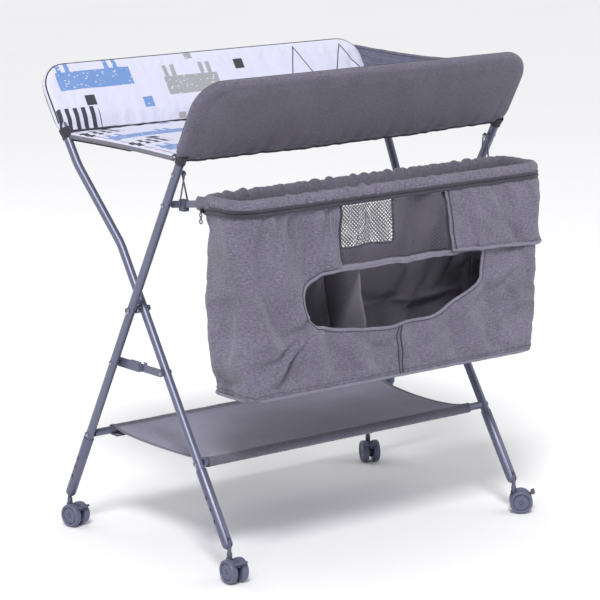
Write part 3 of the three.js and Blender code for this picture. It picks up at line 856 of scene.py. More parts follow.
def drill(piece, holes):
    """Cuts round holes: each is a start, an end and a radius."""
    for start, end, radius in holes:
        length = (Vector(end) - Vector(start)).length
        direction = Vector(end) - Vector(start)
        profile = [(0, radius), (length, radius)]
        tool = turned("drill", profile, facing(start, direction, (0.1, 0.3, 0.9)), [], 20)
        modifier = piece.modifiers.new("hole", "BOOLEAN")
        modifier.operation, modifier.solver, modifier.object = "DIFFERENCE", "EXACT", tool
        apply_modifiers(piece)
        bpy.data.objects.remove(tool)
    keep_crisp(piece)


def on_leg(kind, side, z):
    if kind == "straight":
        return np.array([SIDES[side] * OUTER_X, straight_y(z), z])
    return np.array([SIDES[side] * INNER_X, bent_y(z), z])


CORNERS = {"front": "bent", "back": "straight"}
BODY_OF = {"straight": "straight_leg_frame", "bent": "bent_leg_frame"}
PEG_Z = (0.109, 0.130, 0.150)
LEG_OUTSIDE = 0.3968  # the outer face of the straight legs
RIVET, BOLT = (0.0046, 0.0046), (0.0022, 0.0054)  # the radii of the inner and the outer head

for side, sign in SIDES.items():
    out = np.array([sign, 0, 0])
    # ---- upper leg tubes ----
    straight = pipe(f"leg_straight_{side}", [on_leg("straight", side, z) for z in (TUBE_END, LEG_TOP)],
                    TUBE, 0.0074, [LEG_PAINT])
    bent_line = [
        on_leg("bent", side, TUBE_END),
        on_leg("bent", side, BEND_LOW),
        np.array([sign * OUTER_X, bent_high_y(BEND_HIGH), BEND_HIGH]),
        np.array([sign * OUTER_X, bent_high_y(LEG_TOP), LEG_TOP]),
    ]
    bent = pipe(f"leg_bent_{side}", rounded(bent_line, 0.15), TUBE, 0.0074, [LEG_PAINT])
    for kind, leg in (("straight", straight), ("bent", bent)):
        peg = on_leg(kind, side, PEG_Z[0])
        drill(leg, [(peg + out * 0.003, peg + out * 0.014, 0.0033)])
        fit(leg, BODY_OF[kind], "leg_paint", f"{kind}_leg_{side}")
    # ---- telescoping lower legs, with a rounded foot and a rolled lip ----
    for corner, kind in CORNERS.items():
        foot, top = on_leg(kind, side, SLEEVE_FOOT), on_leg(kind, side, SLEEVE_TOP)
        length = float(np.linalg.norm(top - foot))
        profile = [(SLEEVE * math.sin(t), SLEEVE * math.cos(t)) for t in np.linspace(-math.pi / 2, 0, 9)]
        profile += [(length - 0.0016, SLEEVE), (length - 0.0006, SLEEVE - 0.0002), (length, 0.0098)]
        profile += [(length - 0.0003, 0.0090), (length - 0.0014, 0.0088), (0.013, 0.0088), (0.013, 0)]
        stands = facing(foot, top - foot, (1, 0, 0))
        lower = turned(f"leg_lower_{corner}_{side}", profile, stands, [SLEEVE_PAINT], 28)
        pegs = [on_leg(kind, side, z) for z in PEG_Z]
        holes = [(peg + out * 0.004, peg + out * 0.016, 0.0036) for peg in pegs]
        stem = on_leg(kind, side, STEM_Z)
        holes.append(((stem[0], stem[1], 0.040), (stem[0], stem[1], 0.084), 0.0047))
        drill(lower, holes)
        fit(lower, f"lower_leg_{corner}_{side}", "sleeve_paint", f"lower_leg_{corner}_{side}")
        peg = pegs[0] + out * 0.0022
        tip = [(0, 0), (0, 0.0042), (0.0016, 0.0042), (0.0016, 0.003), (0.0048, 0.003), (0.0058, 0.0025),
               (0.0062, 0.0013), (0.0063, 0)]
        button = turned(f"button_{corner}_{side}", tip, facing(peg, out), [STEEL], 24)
        node = f"snap_button_{corner}_{side}"
        fit(button, node, "steel", node)

    # ---- bolts and rivets: low domed heads with a driven recess ----
    def head(start, radius, height, recess):
        """The profile of a head, out from the face it lies on."""
        shape = [(start, radius), (start + height * 0.35, radius), (start + height * 0.8, radius * 0.8)]
        if recess:
            return shape + [(start + height, radius * 0.45), (start + height * 0.4, radius * 0.4),
                            (start + height * 0.4, 0)]
        return shape + [(start + height, radius * 0.35), (start + height * 1.02, 0)]

    def fastener(name, y, z, inner, outer, body, node, radii, recess):
        """A shank along X with a head at each end."""
        shank = 0.0022
        far = [(-a, r) for a, r in head(-inner, radii[0], 0.0016, False)][::-1]
        profile = far + [(inner, shank), (outer, shank)] + head(outer, radii[1], 0.0020, recess)
        piece = turned(name, profile, facing((0, y, z), (sign, 0, 0)), [STEEL], 24)
        return fit(piece, body, "steel", node)

    for label, node, kind, z, inner, outer, radii in (
        ("rivet_rear", "brace_rear_rivet", "straight", BRACE_Z, 0.3740, LEG_OUTSIDE, RIVET),
        ("rivet_front", "brace_front_rivet", "bent", BRACE_Z, 0.3502, 0.3739, (0.0046, 0.0044)),
        ("rivet_arm", "arm_rivet", "straight", ARM_Z, 0.3697, LEG_OUTSIDE, RIVET),
        ("rivet_bail", "bail_rivet", "straight", BAIL_Z, 0.3697, LEG_OUTSIDE, RIVET),
        ("bolt_front", "front_cross_bolt", "bent", FRONT_TUBE_Z, 0.330, 0.3678, BOLT),
        ("bolt_back", "back_cross_bolt", "straight", BACK_TUBE_Z, 0.359, LEG_OUTSIDE, BOLT),
    ):
        y, body = on_leg(kind, side, z)[1], BODY_OF[kind]
        fastener(f"{label}_{side}", y, z, inner, outer, body, f"{node}_{side}", radii, radii == BOLT)
    pivot = [
        (0.3460, 0), (0.3460, 0.0048), (0.3466, 0.0058), (0.3500, 0.0060), (0.3500, 0.003),
        (0.3680, 0.003), (0.3680, 0.0071), (0.3685, 0.0075), (0.3785, 0.0075), (0.3790, 0.0071),
        (0.3790, 0.003), (0.3969, 0.003),
    ]
    pivot += head(0.3969, 0.0066, 0.0034, True)
    crossing = facing((0, PIVOT_Y, PIVOT_Z), (sign, 0, 0))
    pin = turned(f"pivot_{side}", pivot, crossing, [STEEL], 28)
    fit(pin, "straight_leg_frame", "steel", f"pivot_bolt_{side}")

    # ---- the bent wire bail ----
    bail_y, x = straight_y(BAIL_Z), 0.3725
    wire = [(x - 0.011, bail_y, 0.700), (x - 0.001, bail_y + 0.005, 0.761), (x, bail_y + 0.0035, 0.7665),
            (x, bail_y, 0.768), (x, bail_y - 0.0035, 0.7665), (x + 0.001, bail_y - 0.005, 0.761),
            (x + 0.011, bail_y, 0.700)]
    smooth_wire = rounded([(sign * a, b, c) for a, b, c in wire], 0.0035, 5)
    fit(sweep(f"bail_wire_{side}", smooth_wire, circle(0.0016, 12), [WIRE]), f"bail_{side}", "steel",
        f"bail_{side}")

# ---- cross tubes ----
for corner, z in (("front", FRONT_TUBE_Z), ("back", BACK_TUBE_Z)):
    kind = CORNERS[corner]
    leg_x, y, _ = on_leg(kind, "right", z)
    reach = leg_x - TUBE - 0.0003
    tube = pipe(f"cross_tube_{corner}", [(-reach, y, z), (reach, y, z)], CROSS_TUBE, 0.0065, [LEG_PAINT])
    fit(tube, BODY_OF[kind], "leg_paint", f"{corner}_cross_tube")

# ---- casters: twin wheels with dished faces, a web, and a ridged brake lever with two wings ----
wheel_face = [(-0.0190, 0), (-0.0190, 0.0026), (-0.0186, 0.0031), (-0.0168, 0.0033), (-0.0168, 0.0044),
              (-0.0181, 0.0046), (-0.0182, 0.0056), (-0.0176, 0.0066), (-0.0172, 0.0100), (-0.0174, 0.0152),
              (-0.0158, 0.0156), (-0.0158, 0.0170), (-0.0184, 0.0174), (-0.0193, 0.0184),
              (-0.0195, 0.0196), (-0.0192, 0.0214), (-0.0182, 0.0227), (-0.0160, 0.0234), (-0.0120, 0.0235),
              (-0.0085, 0.0234), (-0.0066, 0.0227), (-0.0054, 0.0214), (-0.0052, 0.0200), (-0.0052, 0.0030)]
wheel_profile = wheel_face + [(-a, r) for a, r in wheel_face[::-1]]
for corner, degrees in TRAIL_DEG.items():
    end, side = corner.split("_")
    stem = on_leg(CORNERS[end], side, STEM_Z)
    place = Matrix.Translation((stem[0], stem[1], 0)) @ Matrix.Rotation(math.radians(degrees), 4, "Z")
    axle = Matrix.Translation((TRAIL, 0, WHEEL)) @ Matrix.Rotation(math.pi / 2, 4, "Z")
    wheels = turned(f"wheel_pair_{corner}", wheel_profile, place @ axle, [WHEEL_PLASTIC], 44)
    fit(wheels, f"wheels_{corner}", "wheel_plastic", f"caster_wheels_{corner}")
    upright = Matrix(((1, 0, 0, 0), (0, 0, -1, 0), (0, 1, 0, 0), (0, 0, 0, 1)))  # the plate's Y stands up
    web = [*arc(TRAIL, WHEEL, 0.013, -135, 54, 20), (0.0068, 0.0405), (0.005, 0.045), (-0.006, 0.045)]
    web += [(-0.006, 0.024), (-0.003, 0.0175)]
    body = plate("web", web, 0.009, place @ upright, [DARK_PLASTIC], 0.0012)
    neck = [
        (0.040, 0), (0.040, 0.0046), (0.0455, 0.0052), (0.0535, 0.0052), (0.0550, 0.0046), (0.0560, 0.0039),
        (0.0795, 0.0039), (0.0800, 0.0030), (0.0800, 0),
    ]
    stem_piece = turned("neck", neck, place @ facing((0, 0, 0), (0, 0, 1), (1, 0, 0)), [PLASTIC], 24)
    whole = join(f"caster_{corner}_web", [body, stem_piece])
    fit(whole, f"caster_{corner}", "caster_plastic", f"caster_body_{corner}")
    teeth = []
    for step in range(19):
        tooth = 0.0215 if step % 2 else 0.0207
        teeth += arc(TRAIL, WHEEL, tooth, 30 + step * 2.9, 30 + step * 2.9 + 2.0, 1)
    lever = [*arc(TRAIL, WHEEL, 0.0162, 84, 30, 12), *teeth]
    tongue = [*arc(TRAIL, WHEEL, 0.0190, 46, 33, 3), *arc(TRAIL, WHEEL, 0.0340, 35, 42, 3)]
    wing = [*arc(TRAIL, WHEEL, 0.0275, 45, 34, 3), *arc(TRAIL, WHEEL, 0.0345, 34, 42, 3)]
    brake = [
        plate("brake_part", shape, width, place @ upright, [PLASTIC], 0.0005)
        for shape, width in ((lever, 0.0084), (tongue, 0.0084), (wing, 0.026))
    ]
    lever = join(f"brake_{corner}_lever", brake)
    fit(lever, f"brake_{corner}", "caster_plastic", f"caster_brake_{corner}")

# ---- CAD pieces that stay: a finish, smooth rounds and broken edges ----
KEPT = {
    "front_hoop": LEG_PAINT, "back_hoop": LEG_PAINT, "bag_rim_frame": LEG_PAINT,
    "arm_clip_left": PLASTIC, "arm_clip_right": PLASTIC, "zip_slider": ZIP_METAL, "zip_pull": ZIP_METAL,
}
for side in SIDES:
    KEPT[f"brace_rear_link_{side}"] = KEPT[f"brace_front_link_{side}"] = SLEEVE_PAINT
for name, material in KEPT.items():
    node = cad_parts[name]
    node.data.materials.clear()
    node.data.materials.append(material)
    rounding = node.modifiers.new("broken_edges", "BEVEL")
    rounding.width, rounding.segments, rounding.limit_method = 0.0004, 2, "ANGLE"
    rounding.angle_limit = math.radians(50)
    rounding.use_clamp_overlap = True
    keep_crisp(node)


# ---- the tray's padded walls ----
def wall_outline(height, inset, foot_inset=None):
    """A wall's outline in (x, distance up its slope), with round upper corners."""
    half, radius = WALL_HALF - inset, WALL_CORNER - inset
    low = inset if foot_inset is None else foot_inset
    top = height - inset
    right = arc(half - radius, top - radius, radius, 0, 90)
    left = arc(-half + radius, top - radius, radius, 90, 180)
    foot = WALL_FOOT
    return [(-half, low + foot), (-half + foot, low), (half - foot, low), (half, low + foot), *right, *left]


class Wall:
    """A padded wall: two layers of cloth over a tube hoop, with a thinner filling between them."""

    def __init__(self, name, body, node, bottom, height, foot_y, slope, dip, seed, slot_name, wrap):
        self.bottom, self.height, self.slope = bottom, height, slope
        self.up = np.array([0, slope, 1]) / math.hypot(1, slope)
        facing_in = 1 if slope < 0 else -1
        self.inward = np.array([0, facing_in, -facing_in * slope]) / math.hypot(1, slope)
        self.base = np.array([0, foot_y + slope * (bottom - LEG_TOP), bottom])
        outline = wall_outline(height, 0)
        loops = [wall_outline(height, inset) for inset in (0.0025, 0.006, 0.011)]
        flat, triangles = cut_flat(outline, 0.0075, loops)
        rim = near_outline(flat, wall_outline(height, 0, -0.5))
        foot = flat[:, 1]
        roll = np.sqrt(1 - (1 - np.minimum(rim / WALL_FOOT, 1)) ** 2)
        half = WALL_ROLL * roll * (1 - 0.26 * smooth(rim, 0.016, 0.045))
        half = half * (0.30 + 0.70 * smooth(foot, 0.0, 0.035))
        edge = near_outline(flat, even(outline, 0.0075)) < 1e-5
        half[edge] = 0
        shape = flat.copy()
        shape[:, 1] += dip(flat[:, 0]) * (1 - smooth(flat[:, 1], 0, 0.09))
        pucker = ripple(flat[:, 0], 0.045, seed) * np.exp(-foot / 0.03) * 0.0035
        drape = ripple(flat[:, 0] + 0.4 * flat[:, 1], 0.21, seed + 1) * 0.0022 * smooth(rim, 0.01, 0.05)
        middle = self.place(shape) + (pucker + drape)[:, None] * self.inward
        inner = middle + half[:, None] * self.inward
        outer = middle - half[:, None] * self.inward
        crinkle = ripple(flat[:, 0] - 0.7 * flat[:, 1], 0.03, seed + 2) * ripple(flat[:, 1], 0.05, seed + 3)
        inner += (crinkle * 0.0016 * smooth(rim, 0.0, 0.02))[:, None] * self.inward
        count = len(flat)
        faces_in = np.cross([1, 0, 0], self.up) @ self.inward > 0
        front = triangles if faces_in else triangles[:, ::-1]
        points, faces, uvs, spare, other = two_layers(flat, front, edge, inner, outer)
        layer = np.repeat([1, 0], len(front))
        layer[:len(front)][rim[front].mean(1) < wrap] = 0
        self.piece = make_piece(name, points, faces, [WALL_CLOTH, LINING], uvs, layer)
        hold = np.maximum(1 - smooth(rim, 0.016, 0.024), 1 - smooth(foot, 0.001, 0.008))
        settle(self.piece, np.concatenate([hold, hold[spare]]), 14, 0.004, pressure=3.0, shrink=-0.012)
        placed = points_of(self.piece)
        self.inside = Draped(flat, front, placed[:count])
        self.outside = Draped(flat, front[:, ::-1], placed[other])
        refine(self.piece)
        fit(self.piece, body, slot_name, node)
        self.body = body

    def place(self, flat):
        flat = np.asarray(flat, float)
        return self.base + flat[:, :1] * np.array([1.0, 0, 0]) + flat[:, 1:] * self.up

    def trims(self, name):
        """The hem along the foot, and the seam that joins lining and outer cloth along the hoop."""
        xs = np.linspace(-WALL_HALF + 0.016, WALL_HALF - 0.016, 60)
        trims = []
        for cloth, label in ((self.outside, "outer"), (self.inside, "inner")):
            row = np.stack([xs, 0 * xs + 0.0022], 1)
            trims.append(tape(f"{name}_piping_{label}", cloth, row, 0.0022, 0.0016, [DARK_TAPE]))
        for offset in (0.009, 0.013):
            row = np.stack([xs, 0 * xs + offset], 1)
            trims.append(seam(f"{name}_stitch_{round(offset * 1000)}", self.outside, row, [THREAD_LIGHT]))
        line = [p for p in wall_outline(self.height, 0.0035) if p[1] > 0.02]
        ends = [(line[0][0], 0.02), *line, (line[-1][0], 0.02)]
        trims.append(tape(f"{name}_edge_seam", self.inside, ends, 0.0011, 0.0007, [DARK_TAPE], -0.0002))
        for trim in trims:
            fit(trim, self.body, "wall_cloth")


def front_dip(x):
    return -0.004 + 0.006 * np.square(x / WALL_HALF) + 0.002 * x / WALL_HALF


def back_dip(x):
    return -0.002 + 0.003 * np.square(x / WALL_HALF)


front_wall = Wall(
    "front_wall_padding", "straight_leg_frame", "front_wall", bottom=0.789, height=0.175,
    foot_y=straight_y(LEG_TOP), slope=STRAIGHT_SLOPE, dip=front_dip, seed=11,
    slot_name="wall_cloth", wrap=0.011,
)
back_wall = Wall(
    "back_wall_padding", "bent_leg_frame", "back_wall", bottom=0.800, height=0.151,
    foot_y=bent_high_y(LEG_TOP), slope=BACK_WALL_SLOPE, dip=back_dip, seed=31,
    slot_name="lining_cloth", wrap=0.0,
)
front_wall.trims("front_wall")
back_wall.trims("back_wall")

# ---- gathered cuffs where the walls close round the leg tops ----
for side, sign in SIDES.items():
    for corner, low, body in (("front", 0.784, "straight_leg_frame"), ("back", 0.790, "bent_leg_frame")):
        turn = np.arange(36) * 2 * np.pi / 36
        zs = np.array([0.0, 0.0008, 0.003, 0.006, 0.009, 0.013, 0.018]) + low
        girth = np.array([0.0088, 0.0098, 0.0103, 0.0098, 0.0104, 0.0112, 0.0118])
        ys = straight_y(zs) if corner == "front" else bent_high_y(zs)
        folds = 1 + 0.055 * np.cos(turn * 9 + sign) + 0.03 * np.cos(turn * 5)
        section = girth[:, None, None] * (folds[:, None] * circle(1, 36))[None]
        section[0] = 0.0088 * circle(1, 36)
        line = np.stack([0 * zs + sign * OUTER_X, ys, zs], 1)
        cuff = sweep(f"cuff_{corner}_{side}", line, section, [DARK_TAPE], caps=False)
        fit(cuff, body, "wall_cloth")


# ---- the mat: a padded floor between the walls ----
def inner_face(wall, z, half):
    """The y of a wall's inner face at a height, for a wall of that half thickness there."""
    y = wall.base[1] + wall.slope * (z - wall.bottom)
    return y + math.copysign(half * math.hypot(1, wall.slope), -wall.slope)


MAT_MIDDLE, MAT_RIGHT = 0.7965, 0.385
mat_front, mat_back = inner_face(front_wall, 0.796, 0.004), inner_face(back_wall, 0.802, 0.003)


def mat_left(y):
    """The mat's left edge: it hollows in slightly between the leg frames."""
    share = (np.asarray(y, float) - mat_front) / (mat_back - mat_front)
    return -0.402 + 0.015 * share + 0.010 * np.sin(np.pi * share)


def mat_outline(inset):
    ys = np.linspace(mat_front + inset, mat_back - inset, 30)
    left = [(mat_left(y) + inset, y) for y in ys[::-1]]
    return [(MAT_RIGHT - inset, mat_front + inset), (MAT_RIGHT - inset, mat_back - inset), *left]


flat, triangles = cut_flat(mat_outline(0), 0.0085, [mat_outline(0.003), mat_outline(0.008)])
mat_edge = near_outline(flat, mat_outline(0))
from_left = flat[:, 0] - mat_left(flat[:, 1])
swell = np.sqrt(1 - (1 - np.minimum(mat_edge / 0.016, 1)) ** 2)
pleat = ripple(flat[:, 1], 0.026, 51, 2) * np.exp(-np.abs(from_left - 0.02) / 0.03) * 0.0034
pleat += ripple(flat[:, 0], 0.10, 52) * np.exp(-(mat_back - flat[:, 1]) / 0.05) * 0.0016
edge = mat_edge < 1e-6
crown = 0.0058 + pleat + 0.0012 * smooth(mat_edge, 0.02, 0.09)
upper = np.column_stack([flat, MAT_MIDDLE + swell * crown])
lower = np.column_stack([flat, MAT_MIDDLE - swell * 0.0055])
points, faces, uvs, spare, _ = two_layers(flat, triangles, edge, upper, lower)
layer = np.repeat([0, 1], len(triangles))
mat = make_piece("changing_mat_pad", points, faces, [MAT_PRINT, INNER_CLOTH], uvs, layer)
hold = 1 - smooth(mat_edge, 0.002, 0.012)
settle(mat, np.concatenate([hold, hold[spare]]), 14, 0.003, pressure=2.0, shrink=-0.012)
mat_top = Draped(flat, triangles, points_of(mat)[:len(flat)])
refine(mat)
FOLD = ("straight_leg_frame", "bent_leg_frame", (0, mat_front + 0.02, 0.796), (0, mat_back - 0.02, 0.796))


def folds_with_frame(piece, slot_name, *nodes):
    """Tray cloth in place of its CAD nodes, with its place baked into its points."""
    name_slot(nodes)
    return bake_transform(piece)


folds_with_frame(mat, "mat_cloth", "changing_mat")
ys = np.linspace(mat_front + 0.004, mat_back - 0.004, 70)
edge_line = np.stack([mat_left(ys) + 0.0012, ys, 0 * ys + 0.7945], 1)
section = circle(1, 14) * (0.0034, 0.0042)
binding = sweep("mat_left_binding", edge_line, section, [GREY_TAPE], first=(1, 0, 0))
folds_with_frame(binding, "wall_cloth")
row = np.stack([mat_left(ys) + 0.0085, ys], 1)
folds_with_frame(seam("mat_left_stitch", mat_top, row, [GREY_TAPE]), "mat_cloth")
strap_ys = np.linspace(0.03, mat_back + 0.004, 30)
strap_line = np.stack([mat_left(strap_ys) + 0.03, strap_ys, 0.7865 + 0 * strap_ys], 1)
strap_section = [(-0.020, -0.0012), (0.020, -0.0012), (0.020, 0.0012), (-0.020, 0.0012)]
strap = sweep("mat_under_strap", strap_line, strap_section, [DARK_TAPE], first=(1, 0, 0))
folds_with_frame(strap, "wall_cloth")

# ---- the end wall: one sheet stretched between the two padded walls ----
END_X, END_LOW, END_FRONT_TOP, END_BACK_TOP = 0.390, 0.792, 0.922, 0.912


def end_span(z):
    return inner_face(front_wall, z, 0.006), inner_face(back_wall, z, 0.006)


front_side = [(end_span(z)[0], z) for z in np.linspace(END_LOW, END_FRONT_TOP, 14)]
back_side = [(end_span(z)[1], z) for z in np.linspace(END_BACK_TOP, END_LOW, 13)]
share = np.linspace(0, 1, 24)[1:-1]
sag = (END_FRONT_TOP - END_BACK_TOP) * share + 0.010 * np.sin(math.pi * share)
(first_y, _), (last_y, _) = front_side[-1], back_side[0]
top_line = list(zip(first_y + (last_y - first_y) * share, END_FRONT_TOP - sag))
end_outline = front_side + top_line + back_side
flat, triangles = cut_flat(end_outline, 0.008)
low = flat[:, 1] - END_LOW
bow = ripple(flat[:, 0] + 0.3 * flat[:, 1], 0.09, 61) * 0.0035 * np.exp(-low / 0.05)
bow += ripple(flat[:, 1], 0.04, 62) * 0.0012
points = np.column_stack([END_X + bow, flat])
end_wall = make_piece("end_wall_sheet", points, triangles, [END_CLOTH], flat)
hold = (near_outline(flat, end_outline) < 0.004).astype(float)
settle(end_wall, hold, 16, 0.006, gravity=0.2, shrink=-0.015)
end_cloth = Draped(flat, triangles, points_of(end_wall))
refine(end_wall)
thicken(end_wall, 0.0016)
folds_with_frame(end_wall, "wall_cloth", "end_wall")
top = [front_side[-1], *top_line, back_side[0]]
end_trims = [tape("end_wall_binding", end_cloth, top, 0.006, 0.0018, [GREY_TAPE], -0.0004)]
for drop in (0.017, 0.030, 0.072):
    row = [(y, z - drop) for y, z in top[1:-1]]
    end_trims.append(seam(f"end_wall_stitch_{round(drop * 1000)}", end_cloth, row, [THREAD_LIGHT], -0.0012))
for trim in end_trims:
    folds_with_frame(trim, "wall_cloth")
size = tuple(float(reach) for reach in np.ptp(flat, axis=0))

# ---- the shelf: a sheet whose long edges are sleeves round the cross tubes ----
SHELF_SLEEVE, SLEEVE_CLOTH = 0.0098, 0.062  # the sleeves' radius, and the cloth that goes into each
front_tube = np.array([bent_y(FRONT_TUBE_Z), FRONT_TUBE_Z])
back_tube = np.array([straight_y(BACK_TUBE_Z), BACK_TUBE_Z])


def sleeve_arc(centre, start, end):
    turn = np.radians(np.linspace(start, end, 12))
    return [(centre[0] + SHELF_SLEEVE * math.cos(t), centre[1] + SHELF_SLEEVE * math.sin(t)) for t in turn]


top_front, top_back = sleeve_arc(front_tube, 285, 75), sleeve_arc(back_tube, 105, -105)
reach = np.linspace(0, 1, 46)[1:-1]
start, finish = np.array(top_front[-1]), np.array(top_back[0])
arch = np.sin(math.pi * reach)
sag = np.stack([0 * reach, 0.004 * arch + 0.006 * arch ** 0.4], 1)
deck = start + (finish - start) * reach[:, None] - sag
front_hem = (front_tube[0] + 0.024, front_tube[1] - 0.0085)
back_hem = (back_tube[0] - 0.024, back_tube[1] - 0.0085)
profile = even([front_hem, *top_front, *deck, *top_back, back_hem], 0.0065, closed=False)
depth = distances(profile)
share = depth / depth[-1]


def to_end(from_front, from_back):
    """How far a strip of the shelf is from the nearer end of its cloth."""
    return np.minimum(from_front, depth[-1] - from_back)


hollow = np.sin(np.pi * share) ** 0.8
left = -0.345 + 0.004 * share + 0.014 * hollow
right = 0.315 + 0.038 * share - 0.005 * hollow
columns = 100
across = np.linspace(0, 1, columns)[None, :]
xs = left[:, None] + (right - left)[:, None] * across
wave = ripple(xs, 0.15, 71) * 0.0016 * hollow[:, None] + ripple(xs, 0.02, 72) * 0.0006
points = np.stack([xs, profile[:, :1] + 0 * xs, profile[:, 1:] + wave], -1).reshape(-1, 3)
faces = grid(len(profile), columns)
shelf_flat = np.stack([xs, depth[:, None] + 0 * xs], -1).reshape(-1, 2)
layer = np.repeat((to_end(depth[:-1], depth[1:]) < SLEEVE_CLOTH).astype(int), columns - 1)
shelf = make_piece("shelf_sheet", points, faces, [SHELF_CLOTH, WALL_CLOTH], shelf_flat, layer)
hold = np.repeat(1 - smooth(to_end(depth, depth), 0.045, SLEEVE_CLOTH), columns)
settle(shelf, hold, 18, 0.008, gravity=0.35, shrink=-0.008, stiffness=10)
halves = np.array([(a, b, c) for a, b, c, d in faces] + [(a, c, d) for a, b, c, d in faces])
shelf_cloth = Draped(shelf_flat, halves, points_of(shelf))
refine(shelf)
thicken(shelf, CLOTH)


def folds_with_shelf(piece, *nodes):
    """Shelf cloth in place of its CAD nodes, with its place baked into its points."""
    name_slot(nodes)
    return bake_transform(piece)


folds_with_shelf(shelf, "shelf")
shelf_trims = []
far = depth[-1]
rows = (("front", 0.064), ("front_inner", 0.067), ("back", far - 0.064), ("back_inner", far - 0.067))
for label, place in rows:
    low_x = float(np.interp(place, depth, left)) + 0.004
    high_x = float(np.interp(place, depth, right)) - 0.004
    row = np.stack([np.linspace(low_x, high_x, 50), np.full(50, place)], 1)
    shelf_trims.append(seam(f"shelf_stitch_{label}", shelf_cloth, row, [THREAD_LIGHT], 0.0009))
for label, line in (("left", left + 0.002), ("right", right - 0.002)):
    row = np.stack([line, depth], 1)[6:-6]
    shelf_trims.append(tape(f"shelf_binding_{label}", shelf_cloth, row, 0.004, 0.0012, [GREY_TAPE], 0.0003))
for trim in shelf_trims:
    folds_with_shelf(trim)
size = (float(np.ptp(xs)), float(depth[-1]))


# ---- the storage bag ----
BAG_HALF, BAG_FRONT, BAG_BACK, BAG_TOP, BAG_LOW = 0.372, -0.317, -0.197, 0.702, 0.353
FRONT_ROUND, BACK_ROUND = 0.040, 0.028
TURN_FRONT = BAG_HALF - FRONT_ROUND
TURN_SIDE = TURN_FRONT + FRONT_ROUND * math.pi / 2
TURN_BACK = TURN_SIDE + (BAG_BACK - BAG_FRONT) - FRONT_ROUND - BACK_ROUND
TURN_REAR = TURN_BACK + BACK_ROUND * math.pi / 2
HALF_GIRTH = TURN_REAR + BAG_HALF - BACK_ROUND
GIRTH = 2 * HALF_GIRTH


def girth_point(s):
    """The (x, y) at s round the bag from the middle of its front, and the outward direction."""
    s = (np.asarray(s, float) + HALF_GIRTH) % GIRTH - HALF_GIRTH
    t, sign = np.abs(s), np.where(s < 0, -1.0, 1.0)
    front_turn = np.clip((t - TURN_FRONT) / FRONT_ROUND, 0, math.pi / 2)
    back_turn = np.clip((t - TURN_BACK) / BACK_ROUND, 0, math.pi / 2)
    turn = front_turn + back_turn
    out = np.stack([np.sin(turn) * sign, -np.cos(turn)], -1)
    x = np.where(t < TURN_FRONT, t, TURN_FRONT + FRONT_ROUND * np.sin(front_turn))
    y = np.where(t < TURN_FRONT, BAG_FRONT, BAG_FRONT + FRONT_ROUND * (1 - np.cos(front_turn)))
    y = y + np.clip(t - TURN_SIDE, 0, TURN_BACK - TURN_SIDE)
    x = x - BACK_ROUND * (1 - np.cos(back_turn)) - np.clip(t - TURN_REAR, 0, None)
    y = y + BACK_ROUND * np.sin(back_turn)
    return np.stack([x * sign, y], -1), out


def bag_points(flat, grow):
    """Where flat places (s, height) of the bag's wall hang: it narrows a little to the bottom."""
    spot, out = girth_point(flat[:, 0])
    fall = (BAG_TOP - flat[:, 1]) / (BAG_TOP - BAG_LOW)
    x = spot[:, 0] * (1 - 0.056 * fall)
    y = BAG_FRONT + (spot[:, 1] - BAG_FRONT) * (1 + 0.045 * fall)
    moved = np.column_stack([x, y, flat[:, 1]])
    outward = np.column_stack([out, 0 * flat[:, 1]])
    return moved + np.reshape(grow, (-1, 1)) * outward


def trimmed_corners(points, times=2, closed=True):
    """A softer line: each corner is cut off at a quarter of its edges, a few times."""
    points = np.asarray(points, float)
    for _ in range(times):
        ahead = np.roll(points, -1, 0) if closed else points[1:]
        start = points if closed else points[:-1]
        cuts = np.stack([start * 0.75 + ahead * 0.25, start * 0.25 + ahead * 0.75], 1).reshape(-1, 2)
        points = cuts if closed else np.concatenate([points[:1], cuts, points[-1:]])
    return points


WINDOW = np.array([(-0.138, 0.591), (0.124, 0.588), (0.110, 0.6995), (-0.139, 0.6995)])
MOUTH = trimmed_corners([
    (-0.120, 0.5785), (-0.178, 0.581), (-0.212, 0.568), (-0.231, 0.546), (-0.233, 0.520), (-0.222, 0.497),
    (-0.200, 0.476), (-0.169, 0.467), (-0.120, 0.468), (-0.070, 0.466), (-0.024, 0.4615), (0.023, 0.463),
    (0.070, 0.466), (0.112, 0.472), (0.160, 0.497), (0.205, 0.522), (0.2075, 0.550), (0.208, 0.574),
    (0.208, 0.578), (0.204, 0.578), (0.060, 0.577),
])
BACK_WINDOW = np.array([
    (-HALF_GIRTH - 0.088, 0.590), (-HALF_GIRTH + 0.140, 0.590), (-HALF_GIRTH + 0.140, 0.6985),
    (-HALF_GIRTH - 0.088, 0.6985),
])
CUT = 0.300  # where the wall's two ends are sewn together, along its back
first_s, last_s = -HALF_GIRTH - CUT, HALF_GIRTH - CUT
bag_outline = [(first_s, BAG_LOW), (last_s, BAG_LOW), (last_s, BAG_TOP), (first_s, BAG_TOP)]
flat, triangles = cut_flat(bag_outline, 0.0085, [MOUTH, WINDOW, BACK_WINDOW])
wall_triangles = triangles[~within(flat[triangles].mean(1), MOUTH)]
s, z = flat.T
fall = BAG_TOP - z
to_mouth = near_outline(flat, MOUTH)
SEAM_LEFT = [(-0.159, 0.7), (-0.162, 0.652), (-0.153, 0.613), (-0.144, 0.590), (-0.143, 0.583)]
SEAM_LEFT = trimmed_corners(SEAM_LEFT, closed=False)
SEAM_LOW = trimmed_corners([(-0.009, 0.4595), (-0.010, 0.43), (0.001, 0.39), (0.008, 0.355)], closed=False)


